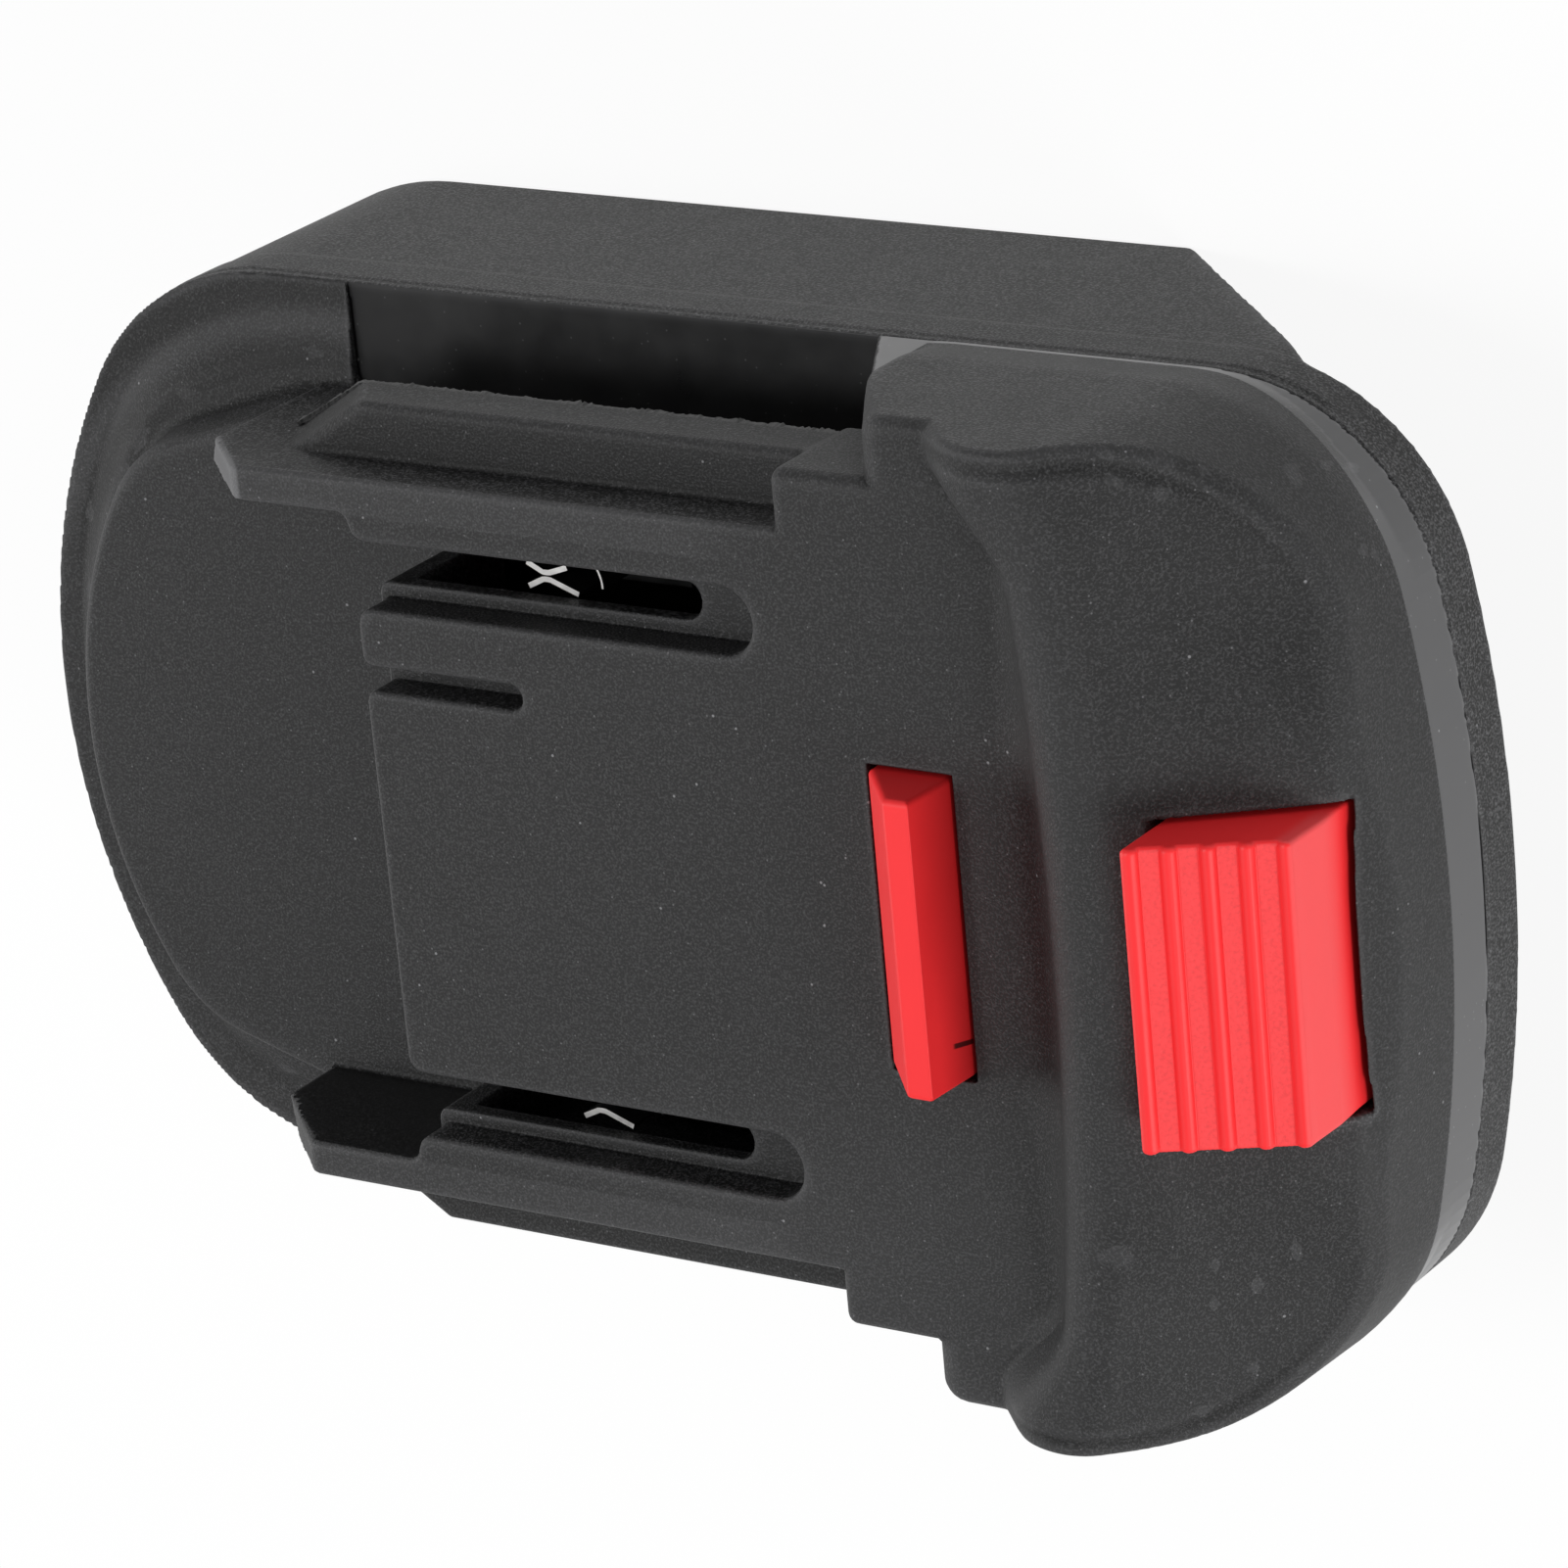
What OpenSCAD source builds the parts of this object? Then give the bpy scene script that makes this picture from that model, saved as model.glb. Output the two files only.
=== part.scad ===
// Slide-on battery adapter. The tool side faces up, the button end faces +X and the part stands on the
// rim of its battery receiver. Heights below are counted from the parting plane unless they say otherwise.

/* [Body] */
// Overall length, rail end to button end
body_l = 116; // [108:1:130]
// Width of the receiver block at the parting plane
body_w = 66.8; // [65:0.2:72]
// Depth of the receiver block below the parting plane
block_h = 23.7; // [21:0.1:28]
// Thickness of the plate between the two sides
plate_t = 4.7; // [4.4:0.1:6]
// General wall of the housing
wall = 2.4; // [2:0.1:2.8]
// Radius of the rail end seen from above
front_tip_r = 48; // [42:1:60]
// Radius of the corners at the rail end
front_corner_r = 18; // [14:0.5:22]
// Radius of the button end seen from above
back_tip_r = 106; // [80:1:140]
// Radius of the corners at the button end
back_corner_r = 16; // [12:0.5:20]

/* [Deck] */
// Height of the deck above the parting plane
deck_h = 18.4; // [17.6:0.1:20]
// Thickness of the deck
deck_t = 4.3; // [4:0.1:4.8]
// Length from the deck's front edge to the button end
deck_l = 74.5; // [72:0.5:80]
// Height of the front floor above the parting plane
floor_h = 6.4; // [6.2:0.1:7.5]
// How far the floor's rounded tip stays behind the rail end
floor_margin = 6.7; // [5.5:0.1:9]
// Radius of the floor's tip
floor_tip_r = 35; // [30:1:45]
// Radius of the floor's corners
floor_corner_r = 10; // [8:0.5:12]
// Angle from the middle of the tip to the start of those corners
floor_corner_a = 31; // [28:0.5:34]
// Thickness of the thin rim round the floor
rim_t = 0.8; // [0.5:0.1:1.2]

/* [Rails] */
// Outer width of the two rails
rail_w = 52.2; // [50:0.1:54]
// Thickness of a rail tongue
tongue_t = 2.5; // [2:0.1:3]
// Reach of the tongues in front of the deck
tongue_l = 16; // [12:0.5:18]
// Lead-in chamfer on the end of a tongue
lead_in = 6.7; // [4:0.1:8]
// Width across the two slide bars
bar_w = 60; // [58:0.1:61]
// Drop from the deck to the top of a bar
bar_drop = 4.2; // [3.5:0.1:5]
// Thickness of a bar
bar_t = 4.9; // [4:0.1:5.5]
// Distance from the tongue ends to the bars
bar_set_back = 7.5; // [6:0.5:9]
// Length of the slanted end of a bar
bar_slant_l = 6.4; // [4:0.1:8]
// Distance from the tongue ends to the side recesses
recess_set_back = 4.4; // [3:0.1:6]
// Distance from the stop faces to the button end
stop_l = 40.3; // [39:0.1:42]
// Width across the two stops
stop_w = 60.4; // [59:0.1:62]

/* [Hood] */
// Width of the hood
hood_w = 69; // [67:0.5:74]
// Length of the hood at deck height
hood_l = 32.7; // [31:0.1:34]
// How far the hood's front face leans out at its foot
hood_lean = 10.1; // [8:0.1:12]
// Height at which the hood's sides reach their full width
hood_flare_h = 7; // [5:0.5:9]
// Height of the crest above the parting plane
crest_h = 22.9; // [22.4:0.1:23.6]
// Distance from the crest to the button end
crest_l = 16.3; // [15.8:0.1:17]
// Rounding of the crest
crest_r = 6; // [5:0.1:7]
// Radius of the cove between deck and crest
cove_r = 8; // [7:0.1:9]
// Slope of the face that carries the button
face_a = 39.4; // [36:0.2:42]
// Radius on which the hood is swept, seen from above
sweep_r = 114; // [90:1:150]

/* [Release] */
// Length of the latch across the deck
latch_l = 20.8; // [18:0.1:23]
// Width of the latch along the rails
latch_w = 6; // [5:0.1:7]
// Height of the latch above the deck
latch_h = 4.5; // [3.5:0.1:5]
// Width of the flat top of the latch
latch_top_w = 1.9; // [1:0.1:2.5]
// Distance from the latch's middle to the button end
latch_d = 31.5; // [31:0.1:32.5]
// Length of the button across the hood
button_l = 20.7; // [18:0.1:23]
// Width of the button along the rails
button_w = 9.8; // [8:0.1:10.2]
// Distance from the button's middle to the button end
button_d = 7; // [6.9:0.1:8]
// Height of the button's upper edge above the parting plane
button_h = 25.2; // [24:0.1:26]
// Slope of the button's ribbed face
button_a = 27.8; // [24:0.2:32]
// Ribs on the button's face
rib_count = 5; // [3:1:7]
// Height of those ribs
rib_h = 0.5; // [0.3:0.05:0.7]
// Gap round the latch and the button in their holes
slide_gap = 0.3; // [0.2:0.05:0.4]
// Travel of the release from rest to fully pressed
travel = 4.6; // [3.8:0.1:4.8]
// Thickness of the carrier that joins latch and button
carrier_t = 3; // [2.6:0.1:3.4]
// Height of the carrier's underside above the parting plane
carrier_z = 6.4; // [6:0.1:7]
// Outer diameter of a latch spring
spring_d = 6; // [5:0.1:6.6]
// Wire of a latch spring
spring_wire = 0.8; // [0.6:0.05:1]
// Turns of a latch spring
spring_turns = 5; // [4:1:7]
// Distance of the latch springs from the middle
spring_y = 7; // [6.5:0.1:7.5]
// Depth of a spring's seat in the plate
spring_seat = 2.5; // [2:0.1:2.8]
// Depth of a spring's cup above the carrier
spring_cup = 1.4; // [1:0.1:2]
// Wall of a spring's cup
cup_wall = 1.3; // [1:0.1:1.6]
// Gap round a spring
spring_gap = 0.4; // [0.3:0.05:0.5]
// Lip round the foot of the latch
foot_lip = 1.6; // [1.2:0.1:2]
// How far the carrier stays behind the button's steep face
carrier_set_back = 1.8; // [1.6:0.1:2.2]
// Width of the steep face at the button's foot
button_foot = 1.1; // [0.8:0.1:1.4]
// Height of the steep face
button_drop = 6; // [5:0.1:7]

/* [Terminals] */
// Distance of the power slots from the middle
slot_y = 19.3; // [19:0.1:20]
// Width of the stepped mouth of a power slot
mouth_w = 4.8; // [4:0.1:5]
// Depth of that mouth
mouth_d = 2.9; // [2.4:0.1:3.2]
// Length of that mouth from the deck's front edge
mouth_l = 31.9; // [28:0.1:33]
// Width of a power slot below its mouth
slot_w = 2.8; // [2.4:0.1:3.2]
// Length of a power slot from the deck's front edge
slot_l = 26.2; // [24:0.1:27]
// Distance of the signal slot from the middle
signal_y = 11.9; // [11:0.1:13]
// Width of the signal slot
signal_w = 1.8; // [1.4:0.1:2.2]
// Length of the signal slot from the deck's front edge
signal_l = 12.9; // [10:0.1:15]
// Sheet thickness of the spring contacts
contact_t = 0.5; // [0.4:0.05:0.6]
// Gap from a contact's leaf to its middle, where the leaves almost touch
leaf_gap = 0.05; // [0.05:0.05:0.1]
// Length of a contact's crossing leaves
contact_l = 4.8; // [4.5:0.1:6.5]
// Depth of a contact's top edge below the deck
contact_drop = 4.2; // [3.9:0.1:4.8]
// Distance from the deck's front edge to a contact's middle
contact_x = 12.8; // [11:0.1:14]
// Height of the contact holders
holder_h = 5.5; // [5:0.1:6]
// Width of the contact holders
holder_w = 6.4; // [5.6:0.1:7]
// Length of a holder in front of its contact
holder_front = 1.6; // [1.2:0.1:2]
// Length of a holder behind its contact
holder_back = 3.4; // [2.5:0.1:4]
// Reach of a contact's solder tail
contact_tail_l = 5.5; // [5:0.1:6]
// Width of a contact's solder tail
contact_tail_w = 2.6; // [2:0.1:3]
// Width of a blade's tail
tail_l = 3; // [2.6:0.1:3.4]
// Gap between that tail and its hole in the plate
tail_gap = 0.5; // [0.4:0.05:0.6]
// Sheet thickness of the receiver's blades
blade_t = 0.8; // [0.6:0.1:1]
// Height of the receiver's blades
blade_h = 6; // [5:0.1:7]
// Reach of the blades out of their block
blade_l = 15; // [10:0.5:18]
// Depth of the blades behind the block's faces
blade_in = 2; // [1.5:0.1:2.5]
// Diameter of the leads
lead_d = 2.6; // [2:0.1:2.8]

/* [Receiver] */
// Width of the receiver channel
channel_w = 60.8; // [60:0.1:61.4]
// Width between the receiver's rails
throat_w = 53.2; // [51:0.1:55]
// Height of the receiver's rails
lip_h = 5; // [4:0.1:6]
// Wall between the front screws' heads and the receiver channel
end_wall = 1.9; // [1.6:0.1:3]
// Gap between the terminal block and the channel's end
block_gap = 0.5; // [0.3:0.1:0.7]
// Length of the terminal block
block_l = 15; // [13:0.5:17]
// Width of the terminal block
block_w = 46; // [44:0.5:50]
// Height of the terminal block
block_drop = 10; // [9:0.5:12]
// Depth of the pocket for the pack's own catch
catch_d = 3; // [2:0.1:3.2]
// Width of that pocket along the channel
catch_w = 8; // [6:0.5:9]
// Length of that pocket across the channel
catch_l = 22; // [18:0.5:24]
// Distance from the skirts' slanted ends to the button end
skirt_set_back = 13.3; // [12:0.1:15]
// Distance of the terminal block's screws from the middle
block_screw_y = 6; // [5:0.5:8]

/* [Fasteners] */
// Shank diameter of the case screws
screw_d = 2.9; // [2.5:0.1:3.2]
// Head diameter of the case screws
screw_head_d = 5.6; // [5:0.1:6]
// Head height of the case screws
screw_head_h = 2; // [1.8:0.1:2.2]
// Length of the case screws under the head
screw_l = 9.6; // [9:0.1:10]
// Shank diameter of the small screws
small_screw_d = 2; // [1.6:0.1:2.2]
// Gap between a screw and its hole
screw_gap = 0.1; // [0.05:0.05:0.2]
// Gap round and above a screw's head
head_gap = 0.3; // [0.2:0.05:0.4]
// Head height of the small screws
small_head_h = 1.3; // [1:0.1:1.4]
// Bite of the small screws in the piece that they hold
small_bite = 3.4; // [3:0.1:3.6]
// Distance of the carrier's screws from the middle
carrier_screw_y = 6; // [5:0.5:7]
// Distance of the front case screws behind the floor's tip
front_screw_in = 4.3; // [4:0.1:5]
// Distance of the front case screws from the middle
front_screw_y = 9; // [8:0.5:10]
// Distance of the deck's case screws from the deck's front edge
deck_screw_x = 22.5; // [21:0.5:24]
// Distance of the deck's case screws from the middle
deck_screw_y = 8; // [7:0.5:9]
// Distance of the hood's case screws from the button end
hood_screw_x = 9; // [8.5:0.1:10]
// Distance of the hood's case screws from the middle
hood_screw_y = 19; // [18:0.5:20]
// Depth of the front screws' seats below the plate
front_seat = 2.3; // [2:0.1:2.6]

/* [Hidden] */
$fn = 48;
over = 1;
arc_n = 8;

part_z = block_h;
small_head_d = 2 * small_screw_d;
small_sink = small_head_h + head_gap;
x_end = body_l / 2;
deck_x = x_end - deck_l;
tongue_x = deck_x - tongue_l;
recess_x = tongue_x + recess_set_back;
bar_x = tongue_x + bar_set_back;
stop_x = x_end - stop_l;
hood_x = x_end - hood_l;
latch_x = x_end - latch_d;
button_x = x_end - button_d;
crest_x = x_end - crest_l;
bar_top = deck_h - bar_drop;
bar_low = bar_top - bar_t;
web_y = rail_w / 2;
ceiling = deck_h - deck_t;
cove_span = crest_r + cove_r;
cove_rise = deck_h + cove_r - (crest_h - crest_r);
cove_x = crest_x - sqrt(pow(cove_span, 2) - pow(cove_rise, 2));
cove_a = atan2(cove_rise, crest_x - cove_x);
sweep_x = (cove_x + crest_x) / 2 - sweep_r;
carrier_top = carrier_z + carrier_t;
carrier_w = latch_l + 2 * foot_lip;
contact_mid_x = deck_x + contact_x;
contact_top = deck_h - contact_drop;
front_screw_x = -x_end + floor_margin + front_screw_in;
channel_x = front_screw_x + screw_head_d / 2 + head_gap + end_wall;
block_x = channel_x + block_gap;
tail_x = block_x + block_l - 1.5 * tail_l;
block_screw_x = block_x + small_head_d;
lead_z = lead_d / 2 + 0.5;
floor_cavity_h = floor_h - wall;
floor_cavity_x = tail_x - 2;
contact_tail_x = contact_mid_x - contact_l / 2 - contact_tail_l;
spring_x = (latch_x + button_x) / 2 - 2;
plate_seat = -plate_t + screw_head_h + head_gap;
spring_top = carrier_top + spring_cup;
front_screws = [for (s = [-1, 1]) [front_screw_x, s * front_screw_y, -plate_t - front_seat]];
deck_screws = [for (s = [-1, 1]) [deck_x + deck_screw_x, s * deck_screw_y, plate_seat]];
hood_screws = [for (s = [-1, 1]) [x_end - hood_screw_x, s * hood_screw_y, plate_seat]];
screws = concat(front_screws, deck_screws, hood_screws);
boss_d = screw_d + 2 * wall - 0.8;
skirt_x = x_end - skirt_set_back;

// Points on an arc, from angle a to angle b
function arc(c, r, a, b) = [for (i = [0:arc_n]) c + r * [cos(a + (b - a) * i / arc_n), sin(a + (b - a) * i / arc_n)]];

// One rounded end: a tip arc that runs into two corner arcs, counted from the middle of the length
module round_end(half_l, half_w, tip_r, corner_r) {
    tip_x = half_l - tip_r;
    corner = [sqrt(pow(tip_r - corner_r, 2) - pow(half_w - corner_r, 2)) + tip_x, half_w - corner_r];
    reach = tip_r / (tip_r - corner_r) * 1.5;
    intersection() {
        translate([tip_x, 0]) circle(tip_r);
        polygon([[tip_x, 0], for (s = [1, -1]) [tip_x + (corner[0] - tip_x) * reach, s * corner[1] * reach]]);
    }
    for (s = [-1, 1]) translate([corner[0], s * corner[1]]) circle(corner_r);
    translate([0, -half_w]) square([corner[0], 2 * half_w]);
    translate([0, -corner[1]]) square([corner[0] + over, 2 * corner[1]]);
}

// Outline of the part seen from above, drawn in by inset
module plan(inset = 0, width = body_w) {
    round_end(x_end - inset, width / 2 - inset, back_tip_r - inset, back_corner_r - inset);
    mirror([1, 0]) round_end(x_end - inset, width / 2 - inset, front_tip_r - inset, front_corner_r - inset);
}

// Everything with X from x0 to x1
module between(x0, x1) {
    translate([x0, -body_w, -2 * block_h]) cube([x1 - x0, 2 * body_w, 4 * block_h]);
}

// Outline of the front floor: tip arc, corner arcs and sides that widen towards the deck
module floor_plan() {
    tip_x = -x_end + floor_margin + floor_tip_r;
    corner_a = 180 - floor_corner_a;
    corner = [tip_x, 0] + (floor_tip_r - floor_corner_r) * [cos(corner_a), sin(corner_a)];
    side = [tongue_x + 4, web_y] - corner;
    side_a = atan2(side[1], side[0]) + acos(floor_corner_r / norm(side));
    upper = concat([[deck_x + over, web_y], corner + side], arc(corner, floor_corner_r, side_a, corner_a),
        arc([tip_x, 0], floor_tip_r, corner_a, 180));
    polygon(concat(upper, [for (i = [len(upper) - 2:-1:0]) [upper[i][0], -upper[i][1]]]));
}

// Front end: thin rim on the full outline, floor standing on it
module front_floor() {
    intersection() {
        linear_extrude(rim_t) plan();
        between(-x_end - over, recess_x);
    }
    linear_extrude(floor_h) floor_plan();
}

// One rail tongue with its lead-in, on the +Y side
module tongue() {
    intersection() {
        translate([0, web_y, 0]) rotate([90, 0, 0]) linear_extrude(tongue_t) polygon([
            [tongue_x, 0], [tongue_x, deck_h - lead_in], [tongue_x + lead_in, deck_h],
            [deck_x + over, deck_h], [deck_x + over, 0]]);
        linear_extrude(deck_h + over) polygon([
            [tongue_x, web_y - tongue_t - over], [tongue_x, web_y - tongue_t], [tongue_x + tongue_t * 0.7, web_y],
            [deck_x + over, web_y + over], [deck_x + over, web_y - tongue_t - over]]);
    }
}

// One slide bar with its slanted end, and the stop that ends it, on the +Y side
module bar_and_stop() {
    translate([0, 0, bar_low]) linear_extrude(bar_t) polygon([
        [bar_x, web_y - over], [bar_x, web_y], [bar_x + bar_slant_l, bar_w / 2],
        [stop_x + over, bar_w / 2], [stop_x + over, web_y - over]]);
    translate([stop_x, web_y - over, bar_low])
        cube([hood_x - stop_x + over, stop_w / 2 - web_y + over, deck_h - bar_low]);
}

// Side view of the deck's end, cove, crest and button face, lowered by drop
module hood_profile(drop = 0) {
    start = hood_x - hood_lean - 8;
    crest = [crest_x, crest_h - crest_r];
    face = crest + crest_r * [sin(face_a), cos(face_a)];
    points = concat([[start, -over], [start, deck_h]], arc([cove_x, deck_h + cove_r], cove_r, -90, -cove_a),
        arc(crest, crest_r, 180 - cove_a, 90 - face_a), [[face[0] + (face[1] + over) / tan(face_a), -over]]);
    translate([-sweep_x, -drop]) polygon(points);
}

// Hood before it is hollowed: swept about a far axis, so that its face falls away to both sides
module hood_form(drop = 0) {
    translate([sweep_x, 0, 0]) rotate([0, 0, -30]) rotate_extrude(angle = 60, $fn = 180) hood_profile(drop);
}

// Half space in front of the hood's leaning face
module hood_front(back = 0) {
    translate([hood_x + back, -body_w, deck_h]) rotate([0, atan2(hood_lean, deck_h), 0])
        translate([-body_l, 0, -2 * deck_h]) cube([body_l, 2 * body_w, 4 * deck_h]);
}

// Hood with its flared sides and leaning front
module hood() {
    difference() {
        intersection() {
            hood_form();
            linear_extrude(2 * deck_h) plan(0, hood_w);
            rotate([90, 0, 90]) linear_extrude(x_end + over) polygon([
                [-body_w / 2, 0], [body_w / 2, 0], [hood_w / 2, hood_flare_h], [hood_w / 2, 2 * deck_h],
                [-hood_w / 2, 2 * deck_h], [-hood_w / 2, hood_flare_h]]);
        }
        hood_front();
    }
}

// Deck between the rails
module deck() {
    translate([deck_x, -web_y, 0]) cube([cove_x - deck_x, rail_w, deck_h]);
}

// Hollow of the tool side, less the screw bosses
module hollow() {
    difference() {
        union() {
            translate([deck_x + wall, wall - web_y, -over])
                cube([cove_x - deck_x - wall, rail_w - 2 * wall, ceiling + over]);
            translate([floor_cavity_x, -slot_y - lead_d, -over])
                cube([deck_x + wall - floor_cavity_x + over, 2 * (slot_y + lead_d), floor_cavity_h + over]);
            intersection() {
                hood_form(deck_t);
                translate([0, 0, -over]) linear_extrude(2 * deck_h) plan(wall + 0.4);
                between(hood_x + over, x_end);
            }
        }
        for (p = concat(deck_screws, hood_screws))
            translate([p[0], p[1], -2 * over]) cylinder(d = boss_d, h = 2 * deck_h);
    }
}

// A slot that starts at the deck's front edge and ends round
module deck_slot(y, w, l, z) {
    translate([deck_x - over, y - w / 2, z]) cube([l - w / 2 + over, w, deck_h]);
    translate([deck_x + l - w / 2, y, z]) cylinder(d = w, h = deck_h);
}

// Stepped power slots and the signal slot
module terminal_slots() {
    for (s = [-1, 1]) {
        deck_slot(s * slot_y, mouth_w, mouth_l, deck_h - mouth_d);
        deck_slot(s * slot_y, slot_w, slot_l, floor_h + 1);
    }
    deck_slot(signal_y, signal_w, signal_l, deck_h - mouth_d);
}

// Holes that the latch and the button slide in
module release_holes() {
    translate([latch_x - latch_w / 2 - slide_gap, -latch_l / 2 - slide_gap, ceiling - over])
        cube([latch_w + 2 * slide_gap, latch_l + 2 * slide_gap, deck_t + 2 * over]);
    translate([button_x - button_w / 2 - slide_gap, -button_l / 2 - slide_gap, carrier_z - travel])
        cube([button_w + 2 * slide_gap, button_l + 2 * slide_gap, 2 * deck_h]);
}

module tool_side_shell() {
    color("#2e2e30") translate([0, 0, part_z]) difference() {
        union() {
            front_floor();
            deck();
            hood();
            for (s = [0, 1]) mirror([0, s, 0]) {
                tongue();
                bar_and_stop();
            }
        }
        hollow();
        terminal_slots();
        release_holes();
        for (p = screws)
            translate([p[0], p[1], -over]) cylinder(d = screw_d + screw_gap, h = p[2] + screw_l + over + head_gap);
    }
}

// Receiver rails, channel and the slanted ends of the skirts
module receiver_skirt() {
    difference() {
        intersection() {
            translate([0, 0, -block_h]) linear_extrude(block_h - plate_t + over) plan();
            rotate([90, 0, 0]) translate([0, 0, -body_w]) linear_extrude(2 * body_w) polygon([
                [-body_l, -block_h], [skirt_x - block_h + plate_t, -block_h], [skirt_x, -plate_t], [skirt_x, 0],
                [-body_l, 0]]);
        }
        intersection() {
            union() {
                translate([channel_x, -channel_w / 2, lip_h - block_h])
                    cube([body_l, channel_w, block_h - lip_h - plate_t]);
                translate([channel_x, -throat_w / 2, -block_h - over]) cube([body_l, throat_w, block_h]);
            }
            union() {
                translate([0, 0, -block_h - over]) linear_extrude(block_h) plan((body_w - channel_w) / 2);
                between(0, body_l);
            }
        }
    }
}

module battery_side_shell() {
    color("#262628") translate([0, 0, part_z]) difference() {
        union() {
            translate([0, 0, -plate_t]) linear_extrude(plate_t) plan();
            receiver_skirt();
        }
        for (p = screws) translate([p[0], p[1], 0]) {
            translate([0, 0, -block_h - over]) cylinder(d = screw_d + 2 * screw_gap, h = block_h + 2 * over);
            translate([0, 0, -block_h - over]) cylinder(d = screw_head_d + 2 * head_gap, h = block_h + over + p[2]);
        }
        for (s = [-1, 1]) {
            translate([tail_x - tail_gap, s * slot_y - blade_t / 2 - 3 * tail_gap, -plate_t - over])
                cube([tail_l + 2 * tail_gap, blade_t + 6 * tail_gap, plate_t + 2 * over]);
            translate([spring_x, s * spring_y, -spring_seat])
                cylinder(d = spring_d + 2 * spring_gap, h = spring_seat + over);
            translate([contact_mid_x, s * slot_y, -plate_t]) small_screw_hole(plate_t);
            translate([block_screw_x, s * block_screw_y, -plate_t - over]) small_pilot(over);
        }
        translate([latch_x - catch_w / 2, -catch_l / 2, -plate_t - over]) cube([catch_w, catch_l, catch_d + over]);
    }
}

// Blind hole that a small screw bites in, started below its mouth
module small_pilot(start) {
    cylinder(d = small_screw_d + screw_gap, h = start + small_bite + head_gap);
}

// Through hole of a small screw with the sink of its head, through a wall of thickness t
module small_screw_hole(t) {
    translate([0, 0, -over]) cylinder(d = small_screw_d + 2 * screw_gap, h = t + 2 * over);
    translate([0, 0, -over]) cylinder(d = small_head_d + head_gap, h = over + small_sink);
}

// Small screw through a wall of thickness t, head down, the wall's lower face at z = 0
module small_screw(t) {
    translate([0, 0, head_gap]) cylinder(d = small_head_d, h = small_head_h);
    translate([0, 0, small_head_h]) cylinder(d = small_screw_d, h = t - small_head_h + small_bite);
}

module latch() {
    half = latch_w / 2;
    top = deck_h + latch_h;
    color("#d8232a") translate([latch_x, 0, part_z]) difference() {
        union() {
            translate([0, latch_l / 2, 0]) rotate([90, 0, 0]) linear_extrude(latch_l) polygon([
                [-half, carrier_top], [-half, deck_h], [half - latch_top_w - slide_gap, top], [half - slide_gap, top],
                [half, deck_h], [half, carrier_top]]);
            translate([-half - foot_lip, -latch_l / 2 - foot_lip + slide_gap, carrier_top])
                cube([latch_w + 2 * foot_lip, latch_l + 2 * (foot_lip - slide_gap), ceiling - slide_gap - carrier_top]);
        }
        for (s = [-1, 1]) translate([0, s * carrier_screw_y, carrier_top - over]) small_pilot(over);
    }
}

// Button: ribbed upper face, steep face towards the end
module release_button() {
    half = button_w / 2;
    face_l = (button_w - button_foot) / cos(button_a);
    pitch = face_l / (rib_count - 0.5);
    chord = pitch * 0.48;
    rib_r = (chord * chord / 4 + rib_h * rib_h) / (2 * rib_h);
    rib_a = asin(chord / 2 / rib_r);
    ribs = [for (i = [0:rib_count - 1]) each arc([pitch * (i + 0.25), rib_h - rib_r], rib_r, 90 + rib_a, 90 - rib_a)];
    upper = [for (p = concat([[0, 0]], ribs, [[face_l, 0]]))
        [p[0] * cos(button_a) + p[1] * sin(button_a) - half, button_h - p[0] * sin(button_a) + p[1] * cos(button_a)]];
    low = button_h - face_l * sin(button_a) - button_drop;
    color("#d8232a") translate([button_x, 0, part_z]) difference() {
        translate([0, button_l / 2, 0]) rotate([90, 0, 0]) linear_extrude(button_l)
            polygon(concat([[-half, carrier_top]], upper, [[half, low], [half, carrier_top]]));
        for (s = [-1, 1]) translate([0, s * carrier_screw_y, carrier_top - over]) small_pilot(over);
    }
}

module latch_carrier() {
    x0 = latch_x - latch_w / 2 - foot_lip;
    x1 = button_x + button_w / 2 - carrier_set_back;
    color("#3a3a3c") translate([0, 0, part_z]) difference() {
        union() {
            translate([x0, -carrier_w / 2, carrier_z]) cube([x1 - x0, carrier_w, carrier_t]);
            for (s = [-1, 1]) translate([spring_x, s * spring_y, carrier_z])
                cylinder(d = spring_d + 2 * (spring_gap + cup_wall), h = spring_top - carrier_z + cup_wall);
        }
        for (s = [-1, 1]) {
            translate([spring_x, s * spring_y, carrier_z - over])
                cylinder(d = spring_d + 2 * spring_gap, h = spring_top - carrier_z + over);
            for (x = [latch_x, button_x]) translate([x, s * carrier_screw_y, carrier_z]) small_screw_hole(carrier_t);
        }
    }
}

module carrier_screws() {
    color("silver") translate([0, 0, part_z + carrier_z])
        for (s = [-1, 1], x = [latch_x, button_x]) translate([x, s * carrier_screw_y, 0]) small_screw(carrier_t);
}

// Coil spring between the plate's seat and the carrier's cup
module coil_spring(y) {
    r = (spring_d - spring_wire) / 2;
    w = spring_wire / 2;
    h = spring_top + spring_seat - spring_wire;
    sides = 6;
    steps = 12 * spring_turns;
    ring = function (i) let (a = 360 * i / 12) [for (j = [0:sides - 1]) let (b = 360 * j / sides, q = r + w * cos(b))
        [q * cos(a), q * sin(a), w + h * i / steps + w * sin(b)]];
    points = [for (i = [0:steps]) each ring(i)];
    skin = [for (i = [0:steps - 1], j = [0:sides - 1]) let (k = (j + 1) % sides, a = i * sides, b = a + sides)
        each [[a + j, b + j, b + k], [a + j, b + k, a + k]]];
    caps = [[for (j = [0:sides - 1]) j], [for (j = [sides - 1:-1:0]) steps * sides + j]];
    translate([spring_x, y, part_z - spring_seat]) polyhedron(points, concat(skin, caps));
}

module latch_spring_left() {
    color("gainsboro") coil_spring(spring_y);
}

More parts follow.
